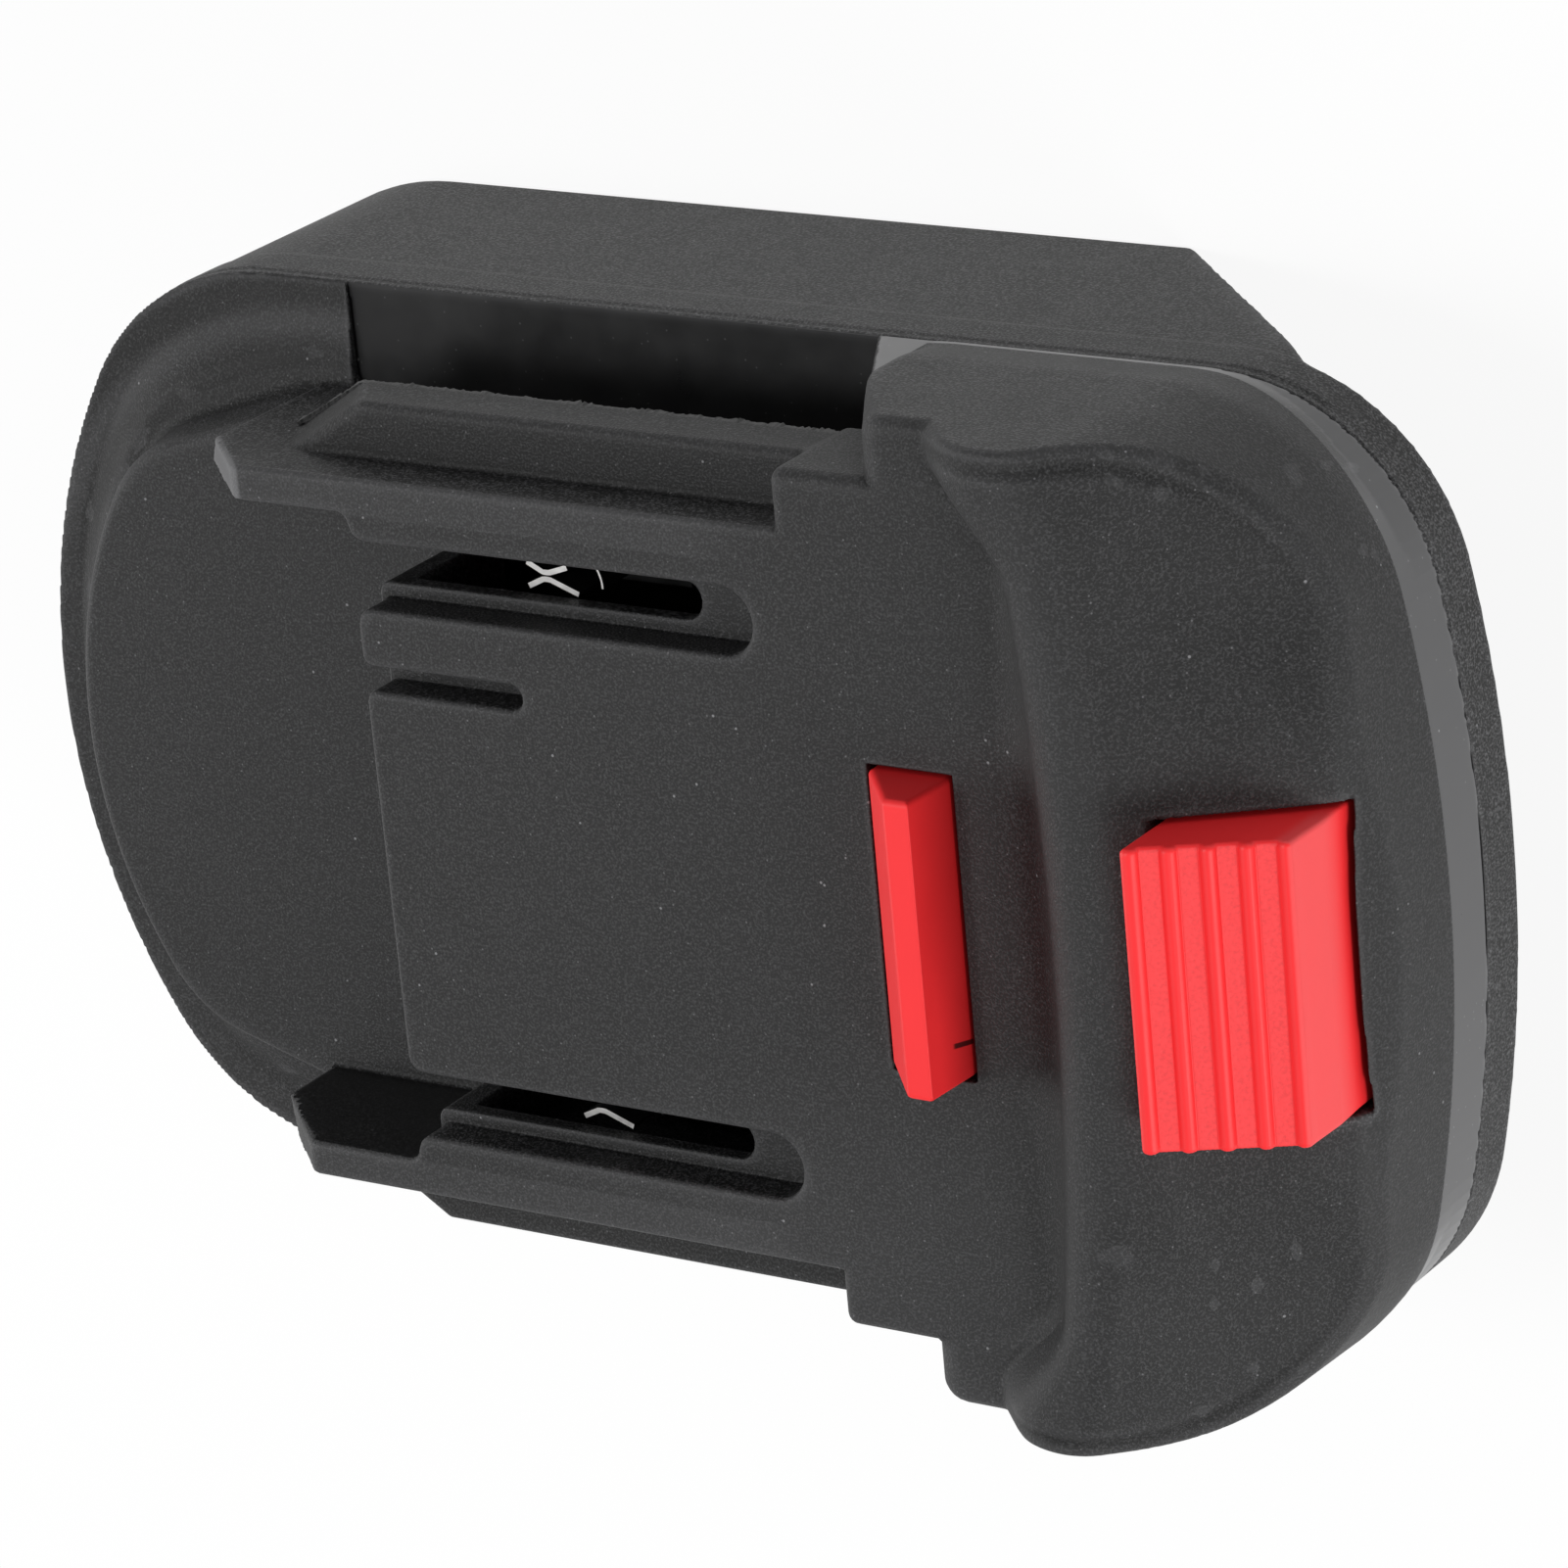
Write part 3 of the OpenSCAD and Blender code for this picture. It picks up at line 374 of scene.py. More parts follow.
def skin(form, xs, ys, zs):
    """Surface where form is 0: one vertex in each grid cell that the surface crosses, at the mean of its edge
    crossings, then slid down the gradient onto the surface; a quad round each grid edge that changes sign."""
    f = form(xs[:, None, None], ys[None, :, None], zs[None, None, :])
    f = np.broadcast_to(f, (len(xs), len(ys), len(zs)))
    inner = f < 0
    axes = (xs, ys, zs)
    shape = np.array(f.shape) - 1
    total = np.zeros((*shape, 3))
    count = np.zeros(shape)
    crossing = []
    for axis in range(3):
        lo = [slice(None)] * 3
        hi = [slice(None)] * 3
        lo[axis], hi[axis] = slice(0, -1), slice(1, None)
        a, b = f[tuple(lo)], f[tuple(hi)]
        flip = inner[tuple(lo)] != inner[tuple(hi)]
        crossing.append(flip)
        at = np.argwhere(flip)
        t = (a / np.where(a == b, 1, a - b))[flip]
        point = np.stack([axes[k][at[:, k]] for k in range(3)], 1)
        step = np.diff(axes[axis])[at[:, axis]]
        point[:, axis] += t * step
        others = [k for k in range(3) if k != axis]
        for du in (0, 1):
            for dv in (0, 1):
                cell = at.copy()
                cell[:, others[0]] -= du
                cell[:, others[1]] -= dv
                ok = ((cell >= 0) & (cell < shape)).all(1)
                np.add.at(total, tuple(cell[ok].T), point[ok])
                np.add.at(count, tuple(cell[ok].T), 1)
    used = count > 0
    number = np.full(shape, -1)
    number[used] = np.arange(used.sum())
    verts = total[used] / count[used][:, None]
    cells = np.argwhere(used)
    low = np.stack([axes[k][cells[:, k]] for k in range(3)], 1)
    high = np.stack([axes[k][cells[:, k] + 1] for k in range(3)], 1)
    margin = 0.25 * (high - low)
    for _ in range(3):
        value, slope = probe(form, verts)
        verts = verts - value[:, None] * slope / np.maximum((slope ** 2).sum(1), 0.05)[:, None]
        verts = np.clip(verts, low - margin, high + margin)
    quads = []
    for axis in range(3):
        at = np.argwhere(crossing[axis])
        u, v = [k for k in range(3) if k != axis]
        ok = (at[:, u] > 0) & (at[:, v] > 0) & (at[:, u] < shape[u]) & (at[:, v] < shape[v])
        at = at[ok]
        ring = []
        for du, dv in ((1, 1), (0, 1), (0, 0), (1, 0)):
            cell = at.copy()
            cell[:, u] -= du
            cell[:, v] -= dv
            ring.append(number[tuple(cell.T)])
        ring = np.stack(ring, 1)
        outward = inner[tuple(at.T)]
        if axis == 1:
            outward = ~outward
        quads.append(np.where(outward[:, None], ring, ring[:, ::-1]))
    slope = probe(form, verts)[1]
    normals = slope / np.maximum(np.linalg.norm(slope, axis=1), 1e-9)[:, None]
    return verts, np.concatenate(quads), normals


def probe(form, p, e=0.02):
    """Value of form at points p, and its gradient by central differences."""
    slope = np.stack([(form(*(p + d).T) - form(*(p - d).T)) / (2 * e) for d in np.eye(3) * e], 1)
    return form(*p.T), slope


def piece(name, verts, faces, normals, body, slot, material):
    """Object at the origin from points in mm counted from the parting plane, with its shading normals."""
    mesh = bpy.data.meshes.new(name)
    points = (verts + [0, 0, PART_Z]) * MM
    mesh.vertices.add(len(points))
    mesh.vertices.foreach_set("co", points.ravel())
    mesh.loops.add(faces.size)
    mesh.loops.foreach_set("vertex_index", faces.ravel().astype(np.int32))
    mesh.polygons.add(len(faces))
    mesh.polygons.foreach_set("loop_start", np.arange(0, faces.size, faces.shape[1], dtype=np.int32))
    mesh.update(calc_edges=True)
    mesh.polygons.foreach_set("use_smooth", np.full(len(faces), normals is not None))
    if normals is not None:
        mesh.normals_split_custom_set_from_vertices(normals)
    mesh.materials.append(material)
    obj = bpy.data.objects.new(name, mesh)
    bpy.context.scene.collection.objects.link(obj)
    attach(obj, body)
    return obj


def part_of(verts, faces, normals, keep):
    """The faces picked by keep, with only their own points."""
    faces = faces[keep]
    used, faces = np.unique(faces, return_inverse=True)
    return verts[used], faces.reshape(-1, 4), normals[used]


# Materials

class Wire:
    """A shader value. The usual operators make Math nodes and node() makes any other kind."""

    def __init__(self, tree, socket=None):
        self.tree, self.socket = tree, socket

    def feed(self, made, inputs):
        """Links or fills the inputs of a node."""
        for key, value in inputs.items():
            if isinstance(value, Wire):
                self.tree.links.new(value.socket, made.inputs[key])
            else:
                made.inputs[key].default_value = value

    def node(self, kind, inputs=None, out=0, **settings):
        """One output of a new node, with its settings set and its inputs linked or filled."""
        made = self.tree.nodes.new(kind)
        for key, value in settings.items():
            setattr(made, key, value)
        self.feed(made, inputs or {})
        return None if out is None else Wire(self.tree, made.outputs[out])

    def maths(self, operation, a, b=0.0):
        return self.node("ShaderNodeMath", {0: a, 1: b}, operation=operation)

    def __add__(self, other):
        return self.maths("ADD", self, other)

    __radd__ = __add__

    def __sub__(self, other):
        return self.maths("SUBTRACT", self, other)

    def __rsub__(self, other):
        return self.maths("SUBTRACT", other, self)

    def __mul__(self, other):
        return self.maths("MULTIPLY", self, other)

    def __truediv__(self, other):
        return self.maths("DIVIDE", self, other)

    def __abs__(self):
        return self.maths("ABSOLUTE", self)

    def most(self, other):
        return self.maths("MAXIMUM", self, other)

    def least(self, other):
        return self.maths("MINIMUM", self, other)

    def step(self, low, high):
        """Smooth step from 0 at low to 1 at high, or down where low is the larger."""
        return self.node("ShaderNodeMapRange", {"Value": self, "From Min": low, "From Max": high},
                         interpolation_type="SMOOTHSTEP")

    def axis(self, k):
        return self.node("ShaderNodeSeparateXYZ", {0: self}, out=k)

    def scaled(self, scale, turn=0.0):
        """Place turned about the vertical and stretched, for streaks and scratches."""
        return self.node("ShaderNodeMapping", {"Vector": self, "Rotation": (0, 0, turn), "Scale": scale})

    def noise(self, scale, detail=2.0):
        """Fractal noise about 0, with features 1 / scale mm across."""
        return self.node("ShaderNodeTexNoise", {"Vector": self, "Scale": scale, "Detail": detail}) - 0.5

    def specks(self, size, radius, share):
        """Round dots in a share of the cells of that size in mm: nearest cell centre closer than the radius."""
        near = {"Vector": self, "Scale": 1 / size}
        away = self.node("ShaderNodeTexVoronoi", near, out="Distance")
        pick = self.node("ShaderNodeTexVoronoi", near, out="Color").axis(0)
        return away.step(radius / size, 0.5 * radius / size) * pick.step(share + 0.01, share)

    def mix(self, a, b):
        """Colour a where this is 0 and b where it is 1."""
        return self.node("ShaderNodeMix", {0: self, 6: a, 7: b}, out=2, data_type="RGBA")

    def tint(self, colour):
        """Colour, which may itself vary, times this value."""
        return self.node("ShaderNodeMix", {0: 1.0, 6: self, 7: colour}, out=2, data_type="RGBA",
                         blend_type="MULTIPLY")

    def bump(self, depth):
        """Normal of a surface raised by this value times depth in mm."""
        return self.node("ShaderNodeBump", {"Height": self, "Distance": depth * MM, "Strength": 1.0})


def material(name, paint):
    """Procedural material: paint takes the place in mm, counted from the parting plane, and the upward share
    of the surface's normal, and gives the shader's inputs."""
    made = bpy.data.materials.new(name)
    made.use_nodes = True
    wire = Wire(made.node_tree)
    place = wire.node("ShaderNodeTexCoord", out="Object")
    place = wire.node("ShaderNodeVectorMath", {0: place, 1: (1 / MM, 1 / MM, 1 / MM), 2: (0, 0, -PART_Z)},
                      operation="MULTIPLY_ADD")
    up = wire.node("ShaderNodeNewGeometry", out="Normal").axis(2)
    wire.feed(made.node_tree.nodes["Principled BSDF"], paint(place, up))
    return made


# Colours of the mouldings, the metals and the sleeves
CHARCOAL = (0.014, 0.014, 0.0145, 1)
SATIN = (0.0165, 0.0165, 0.017, 1)
# The second red is the paler red of the grained strips between the ribs, and also the colour of a painted sheen on the
# button's upright face.
RED, RED_PALE_AND_SHEEN = (0.9, 0.022, 0.026, 1), (0.84, 0.085, 0.09, 1)
INNER = (0.02, 0.02, 0.021, 1)
STEEL, SPRING, BRASS = (0.55, 0.55, 0.56, 1), (0.6, 0.6, 0.6, 1), (0.72, 0.53, 0.24, 1)
# The first of these is painted shade for the contacts' faces inside the slot; the second is their bright sheared edges.
SLOT_SHADE, SHEARED = (0.02, 0.02, 0.021, 1), (0.95, 0.94, 0.92, 1)
SLEEVE_RED, SLEEVE_BLACK = (0.45, 0.015, 0.018, 1), (0.012, 0.012, 0.012, 1)
SHAVED = (0.055, 0.055, 0.055, 1)
# Circle in plan along which the rim's highlight runs
STREAK_X, STREAK_Y, STREAK_R = -30.65, 3.14, 27.21


def edge_highlight_and_hollow_shade(place):
    """Painted highlight on convex edges and painted shade in hollows, from the curvature at each point."""
    return ((place.node("ShaderNodeNewGeometry", out="Pointiness") - 0.5) * 40).most(-0.6).least(1.3)


def marks_on(place):
    """Light specks of dust in two sizes, and a few fine scratches: specks in stretched space."""
    marks = place.specks(1.9, 0.13, 0.26) * 0.9 + place.specks(0.7, 0.09, 0.45) * 0.4
    for turn, share in ((0.9, 0.4), (-0.6, 0.35)):
        marks = marks + place.scaled((0.025, 1, 1), turn).specks(2.2, 0.06, share) * 0.4
    return marks


def tool_side_paint(place, up):
    """Dark moulded plastic: spark-eroded grain, dust and scratches; a smooth band that runs along the parting plane
    and widens round the button end and smooth upright faces at the hood's foot, both paler with painted reflection;
    smooth upright faces inside the rails, darker with painted shade; a painted highlight streak on the rim between
    painted shade, painted shade on the bars and in the cove, paler rail tops, painted highlights on the deck's far
    side and on the lead-in, and wear on a corner of the button's hole."""
    x, y, z = (place.axis(k) for k in range(3))
    side = abs(y)
    grain = place.noise(5.5, 1.0).most(-0.06)
    cloud = place.noise(0.3, 3.0)
    upright = abs(up).step(0.3, 0.12)
    band = (z - x.step(38, 57) * 4.0).step(0.72, 0.62) * x.step(15.1, 15.3)
    foot = x.step(FORM_X + 0.1, FORM_X) * x.step(14.6, 15) * side.step(32.9, 33.1)
    # Painted reflection: the smooth band and the smooth faces at the hood's foot are painted paler by smooth * 3.5
    # further down.
    smooth = band.most(foot) * upright
    # Painted shade: the smooth upright faces inside the rails are painted darker by inner * 0.65 further down.
    inner = upright * side.step(23.75, 23.65) * x.step(-16.4, -16.6) * z.step(6.2, 6.5)
    dx, dy = x - STREAK_X, y - STREAK_Y
    streak = place.maths("SQRT", dx * dx + dy * dy) - STREAK_R
    rim = x.step(-18, -26) * y.step(8, 14) * z.step(2.6, 2.2) * up.step(0.3, 0.6)
    # Painted highlight streak on the rim, with painted shade on either side of it.
    shade = abs(streak - 2.3).step(1.4, 0.4) * 0.8, abs(streak + 2.4).step(1.4, 0.4) * 0.8
    rim_highlight_and_shade = (abs(streak).step(1.3, 0.2) * 1.1 - shade[0] - shade[1]) * rim
    # Painted shade on the bars, taken off the tone further down.
    bars = side.step(26.3, 26.6) * side.step(30.6, 30.3) * z.step(15, 14.6) * z.step(8.5, 9.2) * x.step(17.8, 17.5)
    # Painted shade in the cove at the hood's foot.
    cove = x.step(33.6, 36.0) * x.step(39.4, 37.4) * side.step(30, 24) * z.step(18.2, 18.6)
    scuff = abs(y + 11.35 - (x - 54) * 0.2).step(0.7, 0.2) * x.step(52, 53.5) * x.step(57, 56) * z.step(9, 10)
    # Painted highlight on the lead-in's chamfer.
    lead = abs(z - x - 44.2).step(0.7, 0.4) * y.step(23.0, 23.4) * z.step(11.2, 11.6)
    # Paler tops of the rails, and a painted highlight on the deck's far side.
    rail_tops_and_deck_highlight = side.step(23.4, 23.6) * side.step(26.4, 26.2) * z.step(17.8, 18.2) * x.step(16, 10)
    rail_tops_and_deck_highlight = rail_tops_and_deck_highlight + y.step(-8, -26) * x.step(-16, 20) * x.step(36, 30) * z.step(17.8, 18.2)
    tone = 1.0 + grain * (1 - smooth) * (7.5 + upright * x.step(50, 40) * 11.0) + cloud * 0.8 + marks_on(place) * 14.0
    # The curvature term adds a painted highlight on edges and painted shade in hollows.
    tone = tone + edge_highlight_and_hollow_shade(place) + scuff * (1.0 + grain * 8) + rail_tops_and_deck_highlight * 0.8 + rim_highlight_and_shade
    tone = tone - bars * 0.45 - cove * 0.7 + smooth * 3.5 + lead * 5.5
    rough = 0.66 + cloud * 0.12 - upright * 0.08 - smooth * 0.28 - inner * 0.22
    return {"Base Color": (tone * (1 - inner * 0.65)).most(0).tint(CHARCOAL), "Roughness": rough,
            "Specular IOR Level": 0.45, "Normal": (grain * (1 - smooth) * (1 - inner)).bump(0.09)}


def battery_side_paint(place, up):
    """Dark moulded plastic: grain on the upright walls, painted paler at the rail end's corners as a painted highlight,
    and smooth ledges beside the bars, painted darker there as painted shade."""
    grain = place.noise(5.5, 1.0).most(-0.06)
    cloud = place.noise(0.3, 3.0)
    ledge = up.step(0.7, 0.9)
    # Painted highlight on the upright faces at the rail end's corners.
    corner = place.axis(0).step(-43, -51) * abs(up).step(0.3, 0.1)
    # The curvature term adds a painted highlight on edges and painted shade in hollows.
    tone = 1.0 + grain * (1 - ledge) * 18 + cloud * 0.8 + marks_on(place) * 10.0 + edge_highlight_and_hollow_shade(place) + corner * 1.2
    # Painted shade: the ledges beside the bars are painted darker.
    tone = tone * (1 - ledge * 0.3)
    return {"Base Color": tone.most(0).tint(SATIN), "Roughness": 0.6 + cloud * 0.12 - ledge * 0.3,
            "Specular IOR Level": 0.45, "Normal": (grain * (1 - ledge)).bump(0.09)}


def red_paint(place, up):
    """Red moulded plastic: smooth ribs, grained and paler strips between them, an upright face painted paler as a
    painted sheen, and a dark nick in the latch."""
    x, y, z = (place.axis(k) for k in range(3))
    grain = place.noise(4.0, 2.0)
    cloud = place.noise(0.2, 2.0)
    along = (x - BUTTON_X + BUTTON_W / 2) * np.cos(BUTTON_TILT) - (z - BUTTON_H) * np.sin(BUTTON_TILT)
    share = place.maths("FRACT", along / RIB_PITCH)
    valley = abs(share - 0.75).step(0.26, 0.22) * x.step(45, 46) * x.step(55, 54.7) * up.step(0.7, 0.8)
    # Painted sheen: the upright face of the button is painted paler.
    upright_face_sheen = x.step(54.2, 55.2) * up.step(0.7, 0.3) * z.step(14, 17)
    nick = abs(y + 7.66 - (z - 19.2) * 0.2).step(0.22, 0.14) * abs(z - 19.0).step(1.3, 0.9)
    nick = nick * x.step(28.9, 29.0) * x.step(32, 31)
    tone = 1.0 + cloud * 0.08 + grain * valley * 0.5 + place.specks(1.5, 0.07, 0.2) * 0.15 - nick * 0.9
    colour = (valley * 0.5).most(upright_face_sheen * 0.6).mix(RED, RED_PALE_AND_SHEEN)
    return {"Base Color": tone.tint(colour), "Roughness": 0.52 + valley * 0.1 + cloud * 0.1,
            "Specular IOR Level": 0.4, "Normal": (grain * (valley + 0.15)).bump(0.05)}


def moulded(colour, rough):
    """Plain inner plastic with a faint mould texture and flow clouds."""
    def paint(place, up):
        grain, cloud = place.noise(3.0, 2.0), place.noise(0.15, 2.0)
        return {"Base Color": (1.0 + cloud * 0.4 + grain * 0.2).tint(colour), "Roughness": rough + cloud * 0.15,
                "Normal": grain.bump(0.01)}
    return paint


def metal(colour, rough, stretch):
    """Bare metal with drawing marks along one axis and stained patches."""
    def paint(place, up):
        marks, cloud = place.scaled(stretch).noise(1.0, 2.0), place.noise(0.5, 2.0)
        return {"Base Color": (1.0 + cloud * 0.3 + marks * 0.2).tint(colour), "Metallic": 1.0,
                "Roughness": rough + marks * 0.25 + cloud * 0.15, "Normal": marks.bump(0.004)}
    return paint


def contact_paint(place, up):
    """Plated sheet: bright sheared top edges over faces painted dark inside the slot as painted shade."""
    z = place.axis(2)
    edge = z.step(CONTACT_TOP - 1.2, CONTACT_TOP - 1.0) * up.step(0.3, 0.6)
    marks = place.noise(2.0, 2.0)
    return {"Base Color": edge.mix(SLOT_SHADE, SHEARED), "Metallic": 0.6 + edge * 0.4,
            "Roughness": 0.42 + marks * 0.2 - edge * 0.1, "Normal": marks.bump(0.004)}


charcoal = material("charcoal_grain", tool_side_paint)
satin = material("dark_satin", battery_side_paint)
red = material("red_moulding", red_paint)
inner = material("inner_moulding", moulded(INNER, 0.5))
steel = material("screw_steel", metal(STEEL, 0.3, (6, 6, 0.6)))
wire = material("spring_wire", metal(SPRING, 0.28, (0.8, 0.8, 8)))
plated = material("plated_sheet", contact_paint)
brass = material("brass_sheet", metal(BRASS, 0.26, (0.5, 6, 6)))
red_sleeve = material("red_sleeve", moulded(SLEEVE_RED, 0.4))
black_sleeve = material("black_sleeve", moulded(SLEEVE_BLACK, 0.4))
shaving = material("shaved_plastic", moulded(SHAVED, 0.6))

# Tool-side shell: one surface in three pieces
x_breaks = [*np.arange(-58, -46), TONGUE_X, RECESS_X, DECK_X, STOP_X, FORM_X, 23.2, 29.8, 36.2, *np.arange(46, 58)]
y_breaks = mirrored((10.65, 16.9, 17.9, 20.7, 21.7, *np.arange(23.6, 35))) + [11.0, 12.8]
xs = lines(-58.4, 58.4, 0.7, 0.28, x_breaks, 0.7)
ys = lines(-35.0, 35.0, 0.7, 0.28, y_breaks, 0.55)
zs = lines(-0.4, 25.4, 0.6, 0.2, [0, 0.6, 1.3, 6.3, 9.3, 14.2, 15.5, 18.4], 0.45)
verts, faces, normals = skin(tool_shell, xs, ys, zs)
middle = verts[faces].mean(1)[:, 0]
for name, low, high in (("tool_shell_rail_end", -FAR, -8), ("tool_shell_middle", -8, 27), ("tool_shell_hood", 27, FAR)):
    section = part_of(verts, faces, normals, (middle >= low) & (middle < high))
    obj = piece(name, *section, "housing", "charcoal_plastic", charcoal)
    if name == "tool_shell_rail_end":
        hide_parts("tool_side_shell")

# Battery-side shell
xs = lines(-58.6, 58.6, 1.2, 0.3, [-57.6, -45, 26, 44.7, 57.6], 0.7)
ys = lines(-34.0, 34.0, 1.2, 0.3, mirrored((26.6, 30.1, 33.2)), 0.6)
zs = lines(-24.3, 0.6, 1.0, 0.28, [-23.6, -18.7, -4.7, 0], 0.6)
obj = piece("battery_shell", *skin(battery_shell, xs, ys, zs), "housing", "dark_plastic", satin)
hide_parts("battery_side_shell")

# Latch and button
xs = lines(21, 32, 0.25, 0.2, [LATCH_X], 9)
ys = lines(-12.3, 12.3, 0.6, 0.2, mirrored([LATCH_L / 2]), 0.8)
zs = lines(9, 23.4, 0.25, 0.2, [18], 9)
obj = piece("latch_cap", *skin(latch_form, xs, ys, zs), "release", "red_plastic", red)
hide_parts("latch")
xs = lines(45.7, 56.3, 0.16, 0.16, [BUTTON_X], 9)
ys = lines(-10.8, 10.8, 0.6, 0.2, mirrored([BUTTON_L / 2]), 0.8)
zs = lines(9, 25.8, 0.16, 0.16, [20], 9)
obj = piece("button_cap", *skin(button_form, xs, ys, zs), "release", "red_plastic", red)
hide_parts("release_button")


# Ragged moulding flash along the lower outer edge of each bar

def flash(side):
    """Strip of four points per step along the bar's lower edge; each tip hangs out and down by its own amount."""
    random = np.random.default_rng(7)
    step, start, edge = 0.22, BAR_X - BAR_RAKE, BAR_Y - BAR_DRAFT
    path = np.array([[start, RAIL_Y + 0.3], [start + BAR_SLANT, edge], [STOP_X, edge]])
    length = np.concatenate([[0], np.cumsum(np.hypot(*np.diff(path, axis=0).T))])
    at = np.arange(0, length[-1], step)
    x, y = np.interp(at, length, path[:, 0]), np.interp(at, length, path[:, 1])
    rough = random.random((3, len(at))) ** 1.5
    slow = np.interp(at, np.linspace(0, length[-1], 30), random.random(30))
    tip = 0.02 + 0.26 * slow * rough[0]
    hang = 0.04 + 0.35 * slow * rough[1]
    ring = [np.stack([x, y - 0.25, np.full_like(x, BAR_LOW + 0.03)], 1),
            np.stack([x, y + tip, BAR_LOW + 0.08 - hang], 1),
            np.stack([x, y - 0.02, BAR_LOW + 0.42 + 0.2 * rough[2]], 1),
            np.stack([x, y - 0.3, np.full_like(x, BAR_LOW + 0.3)], 1)]
    verts = np.stack(ring, 1).reshape(-1, 3) * [1, side, 1]
    k = 4 * np.arange(len(at) - 1)[:, None]
    walls = [k + [a, a + 4, b + 4, b] for a, b in ((0, 1), (1, 2), (2, 3), (3, 0))]
    faces = np.concatenate(walls + [[[0, 1, 2, 3]], [k[-1, 0] + [7, 6, 5, 4]]])
    return verts, faces if side < 0 else faces[:, ::-1]


for name, side in (("bar_flash_left", 1), ("bar_flash_right", -1)):
    piece(name, *flash(side), None, "housing", "charcoal_plastic", shaving)


# Pinch contacts

def ribbon(points, thick, low, high):
    """Upright sheet along a line of points in plan: four rails offset by half the thickness, closed at both ends."""
    points = np.asarray(points, float)
    run = np.gradient(points, axis=0)
    out = np.stack([-run[:, 1], run[:, 0]], 1) / np.linalg.norm(run, axis=1)[:, None] * thick / 2
    rails = [np.column_stack([points + s * out, np.full(len(points), z)])
             for s, z in ((-1, low), (-1, high), (1, high), (1, low))]
    verts = np.stack(rails, 1).reshape(-1, 3)
    k = 4 * np.arange(len(points) - 1)[:, None]
    walls = [k + [i, (i + 1) % 4, (i + 1) % 4 + 4, i + 4] for i in range(4)]
    faces = np.concatenate(walls + [[[3, 2, 1, 0]], [k[-1, 0] + [4, 5, 6, 7]]])
    return verts, faces[:, ::-1]


def pinch_contact(side):
    """Two bowed leaves that touch, on a strip with a solder tail, and the bent back that joins them."""
    near, far = (np.concatenate([[[-1.5, -0.85]], arc((0, -2.6), 2.36, 97, 83, 5), [end]])
                 for end in ([2.5, -1.05], [1.7, -0.75]))
    back = arc((1.4, 0), 2.5, -17, 15, 7)
    back[:, 0] -= 0.25 * side * back[:, 1]
    low, thick, drop = 5.5, 0.38, 0.6 * (1 - side)
    strip = low + 0.5
    sheets = ((near, thick, low, CONTACT_TOP), (far * [1, -1], thick, low, CONTACT_TOP - drop),
              (back, 0.15, low, CONTACT_TOP - 0.7 - drop), ([[-2.0, 0], [2.7, 0]], 2.4, low, strip),
              ([[-8.1, 0], [-2.0, 0]], 0.5, low, strip), ([[2.0, 0], [4.0, 0]], 1.3, low, strip),
              ([[-8.0, 0], [-5.5, 0]], 0.45, LEAD_Z, low + 0.3))
    verts, faces, start = [], [], 0
    for points, thick, bottom, top in sheets:
        v, f = ribbon(np.asarray(points) + [CONTACT_X, side * CONTACT_Y], thick, bottom, top)
        verts.append(v)
        faces.append(f + start)
        start += len(v)
    return np.concatenate(verts), np.concatenate(faces)


for name, side in (("positive_contact", 1), ("negative_contact", -1)):
    obj = piece(name + "_leaves", *pinch_contact(side), None, "housing", "plated_contact", plated)
    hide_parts(name)


# Latch springs

def coil_spring(side):
    """Tube of eight points round the helix (r cos a, r sin a, rise), which lies flat for 0.7 turn at each end."""
    radius, half, flat, per_turn = (SPRING_D - SPRING_WIRE) / 2, SPRING_WIRE / 2, 0.7, 24
    turn = np.linspace(0, SPRING_TURNS, per_turn * SPRING_TURNS + 1)
    rise = (SPRING_TOP + SPRING_SEAT - SPRING_WIRE) * np.clip((turn - flat) / (SPRING_TURNS - 2 * flat), 0, 1)
    a = 2 * np.pi * turn
    out = np.stack([np.cos(a), np.sin(a), 0 * a], 1)
    centre = out * radius + np.stack([0 * a, 0 * a, rise + half - SPRING_SEAT], 1) + [SPRING_X, side * SPRING_Y, 0]
    run = np.gradient(centre, axis=0)
    over = np.cross(run / np.linalg.norm(run, axis=1)[:, None], out)
    t = 2 * np.pi * np.arange(8) / 8
    normals = np.cos(t)[:, None] * out[:, None] + np.sin(t)[:, None] * over[:, None]
    verts = centre[:, None] + half * normals
    k, i = 8 * np.arange(len(a) - 1)[:, None], np.arange(8)
    skin_faces = np.stack([k + i, k + i + 8, k + (i + 1) % 8 + 8, k + (i + 1) % 8], 2).reshape(-1, 4)
    cap = np.array([[0, 1, 2, 3], [0, 3, 4, 7], [4, 5, 6, 7]])
    faces = np.concatenate([skin_faces, cap, cap[:, ::-1] + 8 * (len(a) - 1)])
    return verts.reshape(-1, 3), faces[:, ::-1], normals.reshape(-1, 3)


for name, side in (("latch_spring_left", 1), ("latch_spring_right", -1)):
    obj = piece(name + "_coil", *coil_spring(side), "housing", "spring_steel", wire)
    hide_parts(name)
    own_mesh(obj)

# Solids that keep their own form, by material
FINISH = {inner: ("latch_carrier", "positive_contact_holder", "negative_contact_holder", "terminal_block"),
          steel: ("carrier_screws", "contact_holder_screws", "case_screws", "terminal_block_screws"),
          brass: ("positive_blade", "negative_blade"),
          red_sleeve: ("positive_lead",),
          black_sleeve: ("negative_lead",)}
for finish, names in FINISH.items():
    for name in names:
        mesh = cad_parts[name].data
        mesh.materials.clear()
        mesh.materials.append(finish)

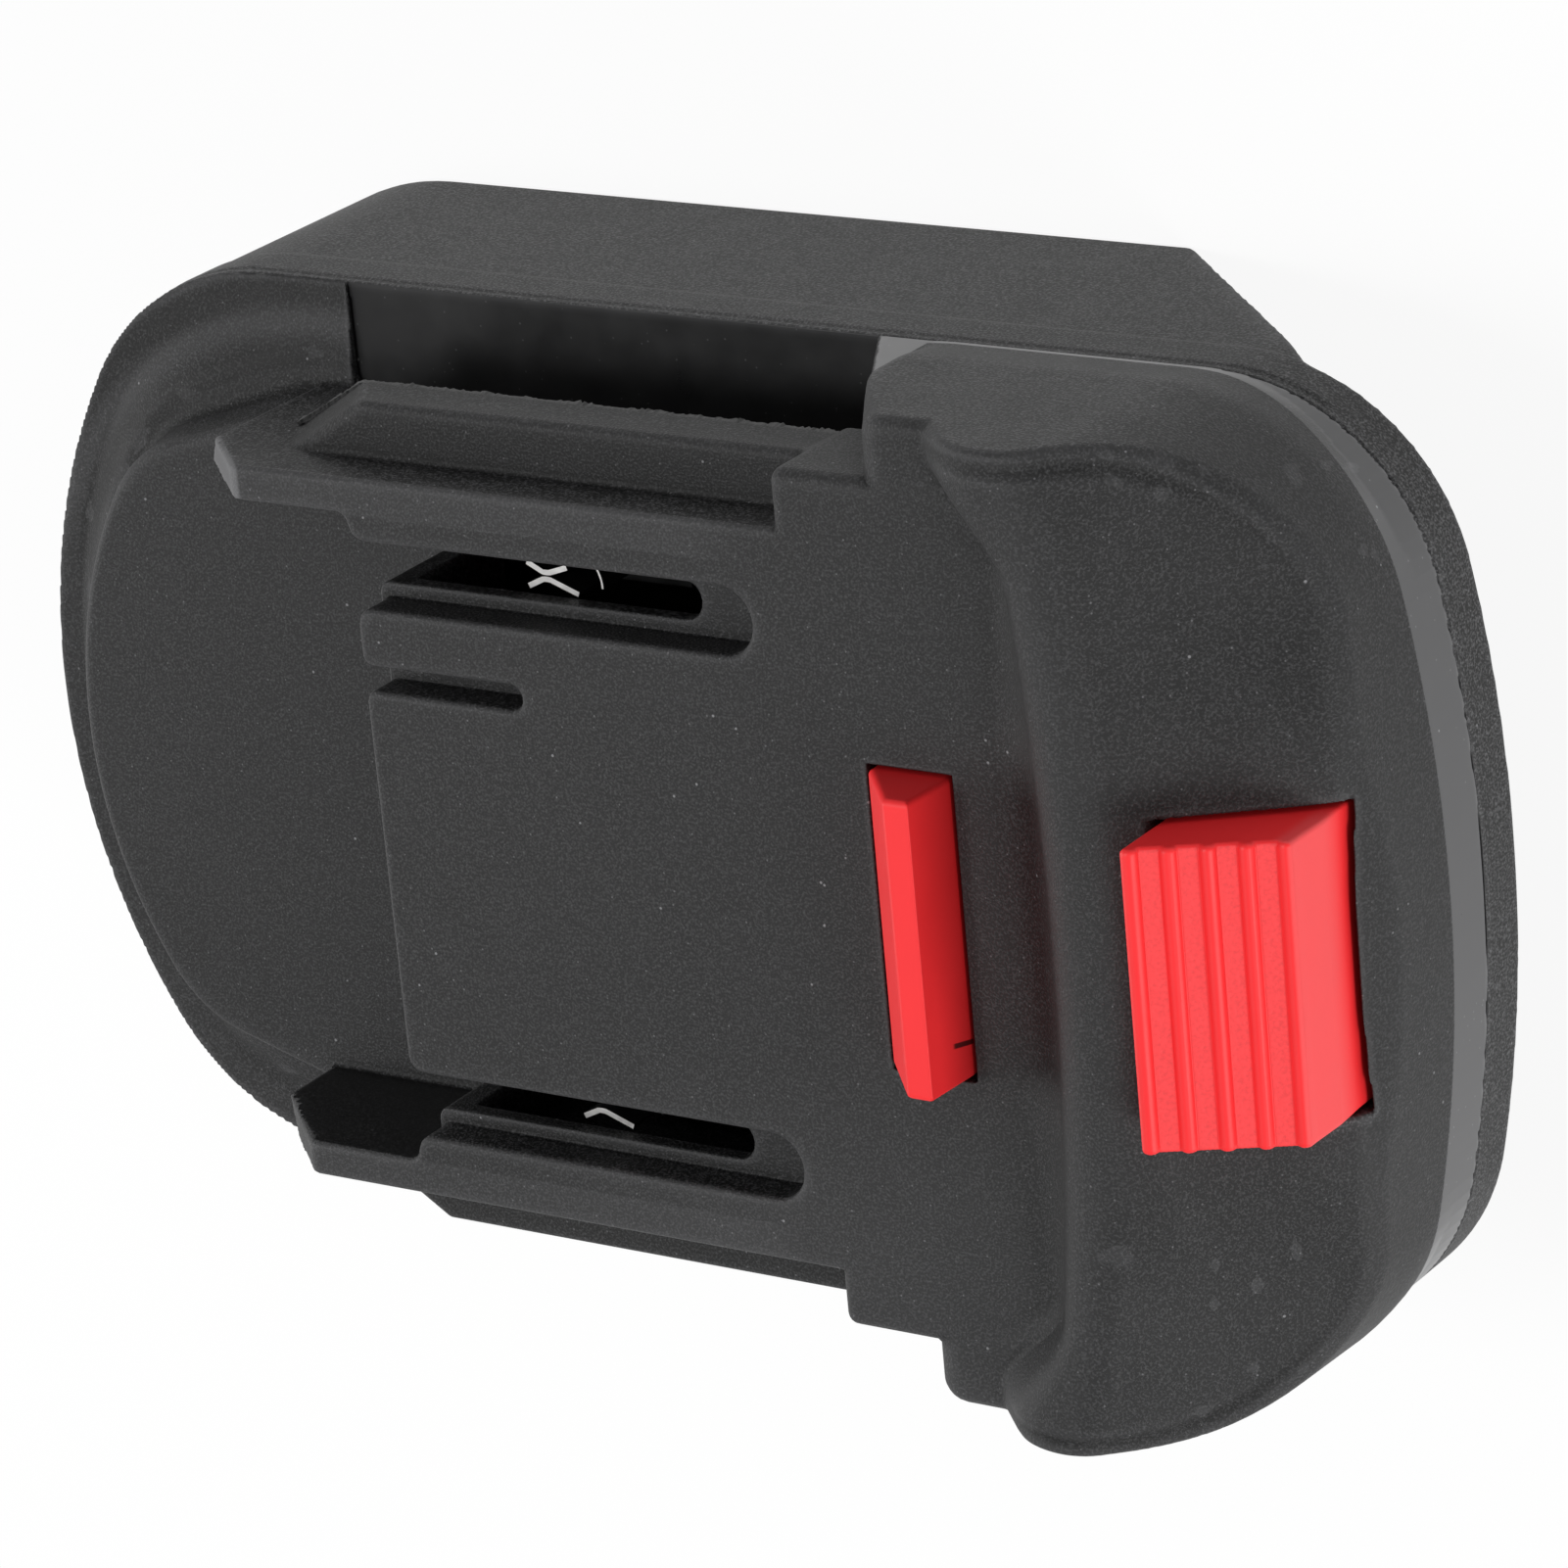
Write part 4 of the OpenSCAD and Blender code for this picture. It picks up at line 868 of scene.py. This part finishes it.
# Camera, from the fit to the photograph's edges
ROT = np.array([[0.839, -0.08799, -0.53697], [0.11461, -0.93612, 0.33248], [-0.53193, -0.34049, -0.77532]])
SHIFT = np.array([-2.782, 3.267, 490.912])
FOCAL, CENTRE, FRAME_PX, SENSOR = 7297.04, (788.9, 748.0), 1601, 36
eye = (-ROT.T @ SHIFT + [0, 0, PART_Z]) * MM
cam = bpy.data.objects.new("camera", bpy.data.cameras.new("camera"))
bpy.context.scene.collection.objects.link(cam)
pose = Matrix(np.stack([ROT[0], -ROT[1], -ROT[2]], 1).tolist()).to_4x4()
pose.translation = Vector(eye)
cam.matrix_world = pose
cam.data.sensor_width = SENSOR
cam.data.lens = FOCAL * SENSOR / FRAME_PX
cam.data.shift_x = (FRAME_PX / 2 - CENTRE[0]) / FRAME_PX
cam.data.shift_y = (CENTRE[1] - FRAME_PX / 2) / FRAME_PX
cam.data.clip_start = 0.01
bpy.context.scene.camera = cam


# White floor that still takes a shadow
FLOOR_HALF, FLOOR_GREY, FLOOR_PLAIN = 3, 0.9, 0.9


def floor_material():
    """Diffuse white, and plain white for most of what the camera and reflections see of it."""
    made = bpy.data.materials.new("floor_white")
    made.use_nodes = True
    tree = made.node_tree
    tree.nodes.clear()
    wire = Wire(tree)
    rays = ("Is Camera Ray", "Is Glossy Ray", "Is Transmission Ray")
    seen = sum((wire.node("ShaderNodeLightPath", out=ray) for ray in rays), 0.0)
    white = wire.node("ShaderNodeEmission", {0: (1, 1, 1, 1), 1: 1.0})
    matt = wire.node("ShaderNodeBsdfDiffuse", {0: (FLOOR_GREY, FLOOR_GREY, FLOOR_GREY, 1)})
    look = wire.node("ShaderNodeMixShader", {0: seen * FLOOR_PLAIN, 1: matt, 2: white})
    wire.node("ShaderNodeOutputMaterial", {0: look}, out=None)
    return made


floor_mesh = bpy.data.meshes.new("floor")
corners = [(u * FLOOR_HALF, v * FLOOR_HALF, 0) for u, v in ((-1, -1), (1, -1), (1, 1), (-1, 1))]
floor_mesh.from_pydata(corners, [], [(0, 1, 2, 3)])
floor = bpy.data.objects.new("floor", floor_mesh)
bpy.context.scene.collection.objects.link(floor)
floor_mesh.materials.append(floor_material())

# World and lamps
WORLD_LEVEL = 0.35
AIM = Vector((0, 0, 0.03))
world = bpy.data.worlds.new("studio")
bpy.context.scene.world = world
world.use_nodes = True
world.node_tree.nodes["Background"].inputs[0].default_value = (1, 1, 1, 1)
world.node_tree.nodes["Background"].inputs[1].default_value = WORLD_LEVEL


def lamp(name, place, size, watts):
    """Square soft lamp that faces the part."""
    data = bpy.data.lights.new(name, "AREA")
    data.size = size
    data.energy = watts
    obj = bpy.data.objects.new(name, data)
    bpy.context.scene.collection.objects.link(obj)
    obj.location = place
    obj.rotation_euler = (AIM - Vector(place)).to_track_quat("-Z", "Y").to_euler()


lamp("top", (-0.2, 0.1, 1.0), 0.3, 5)
lamp("rail_end", (-0.95, -0.1, 0.3), 0.4, 3)
lamp("button_end", (0.92, -0.45, 0.34), 0.4, 6.5)
bpy.context.scene.view_settings.view_transform = "Standard"
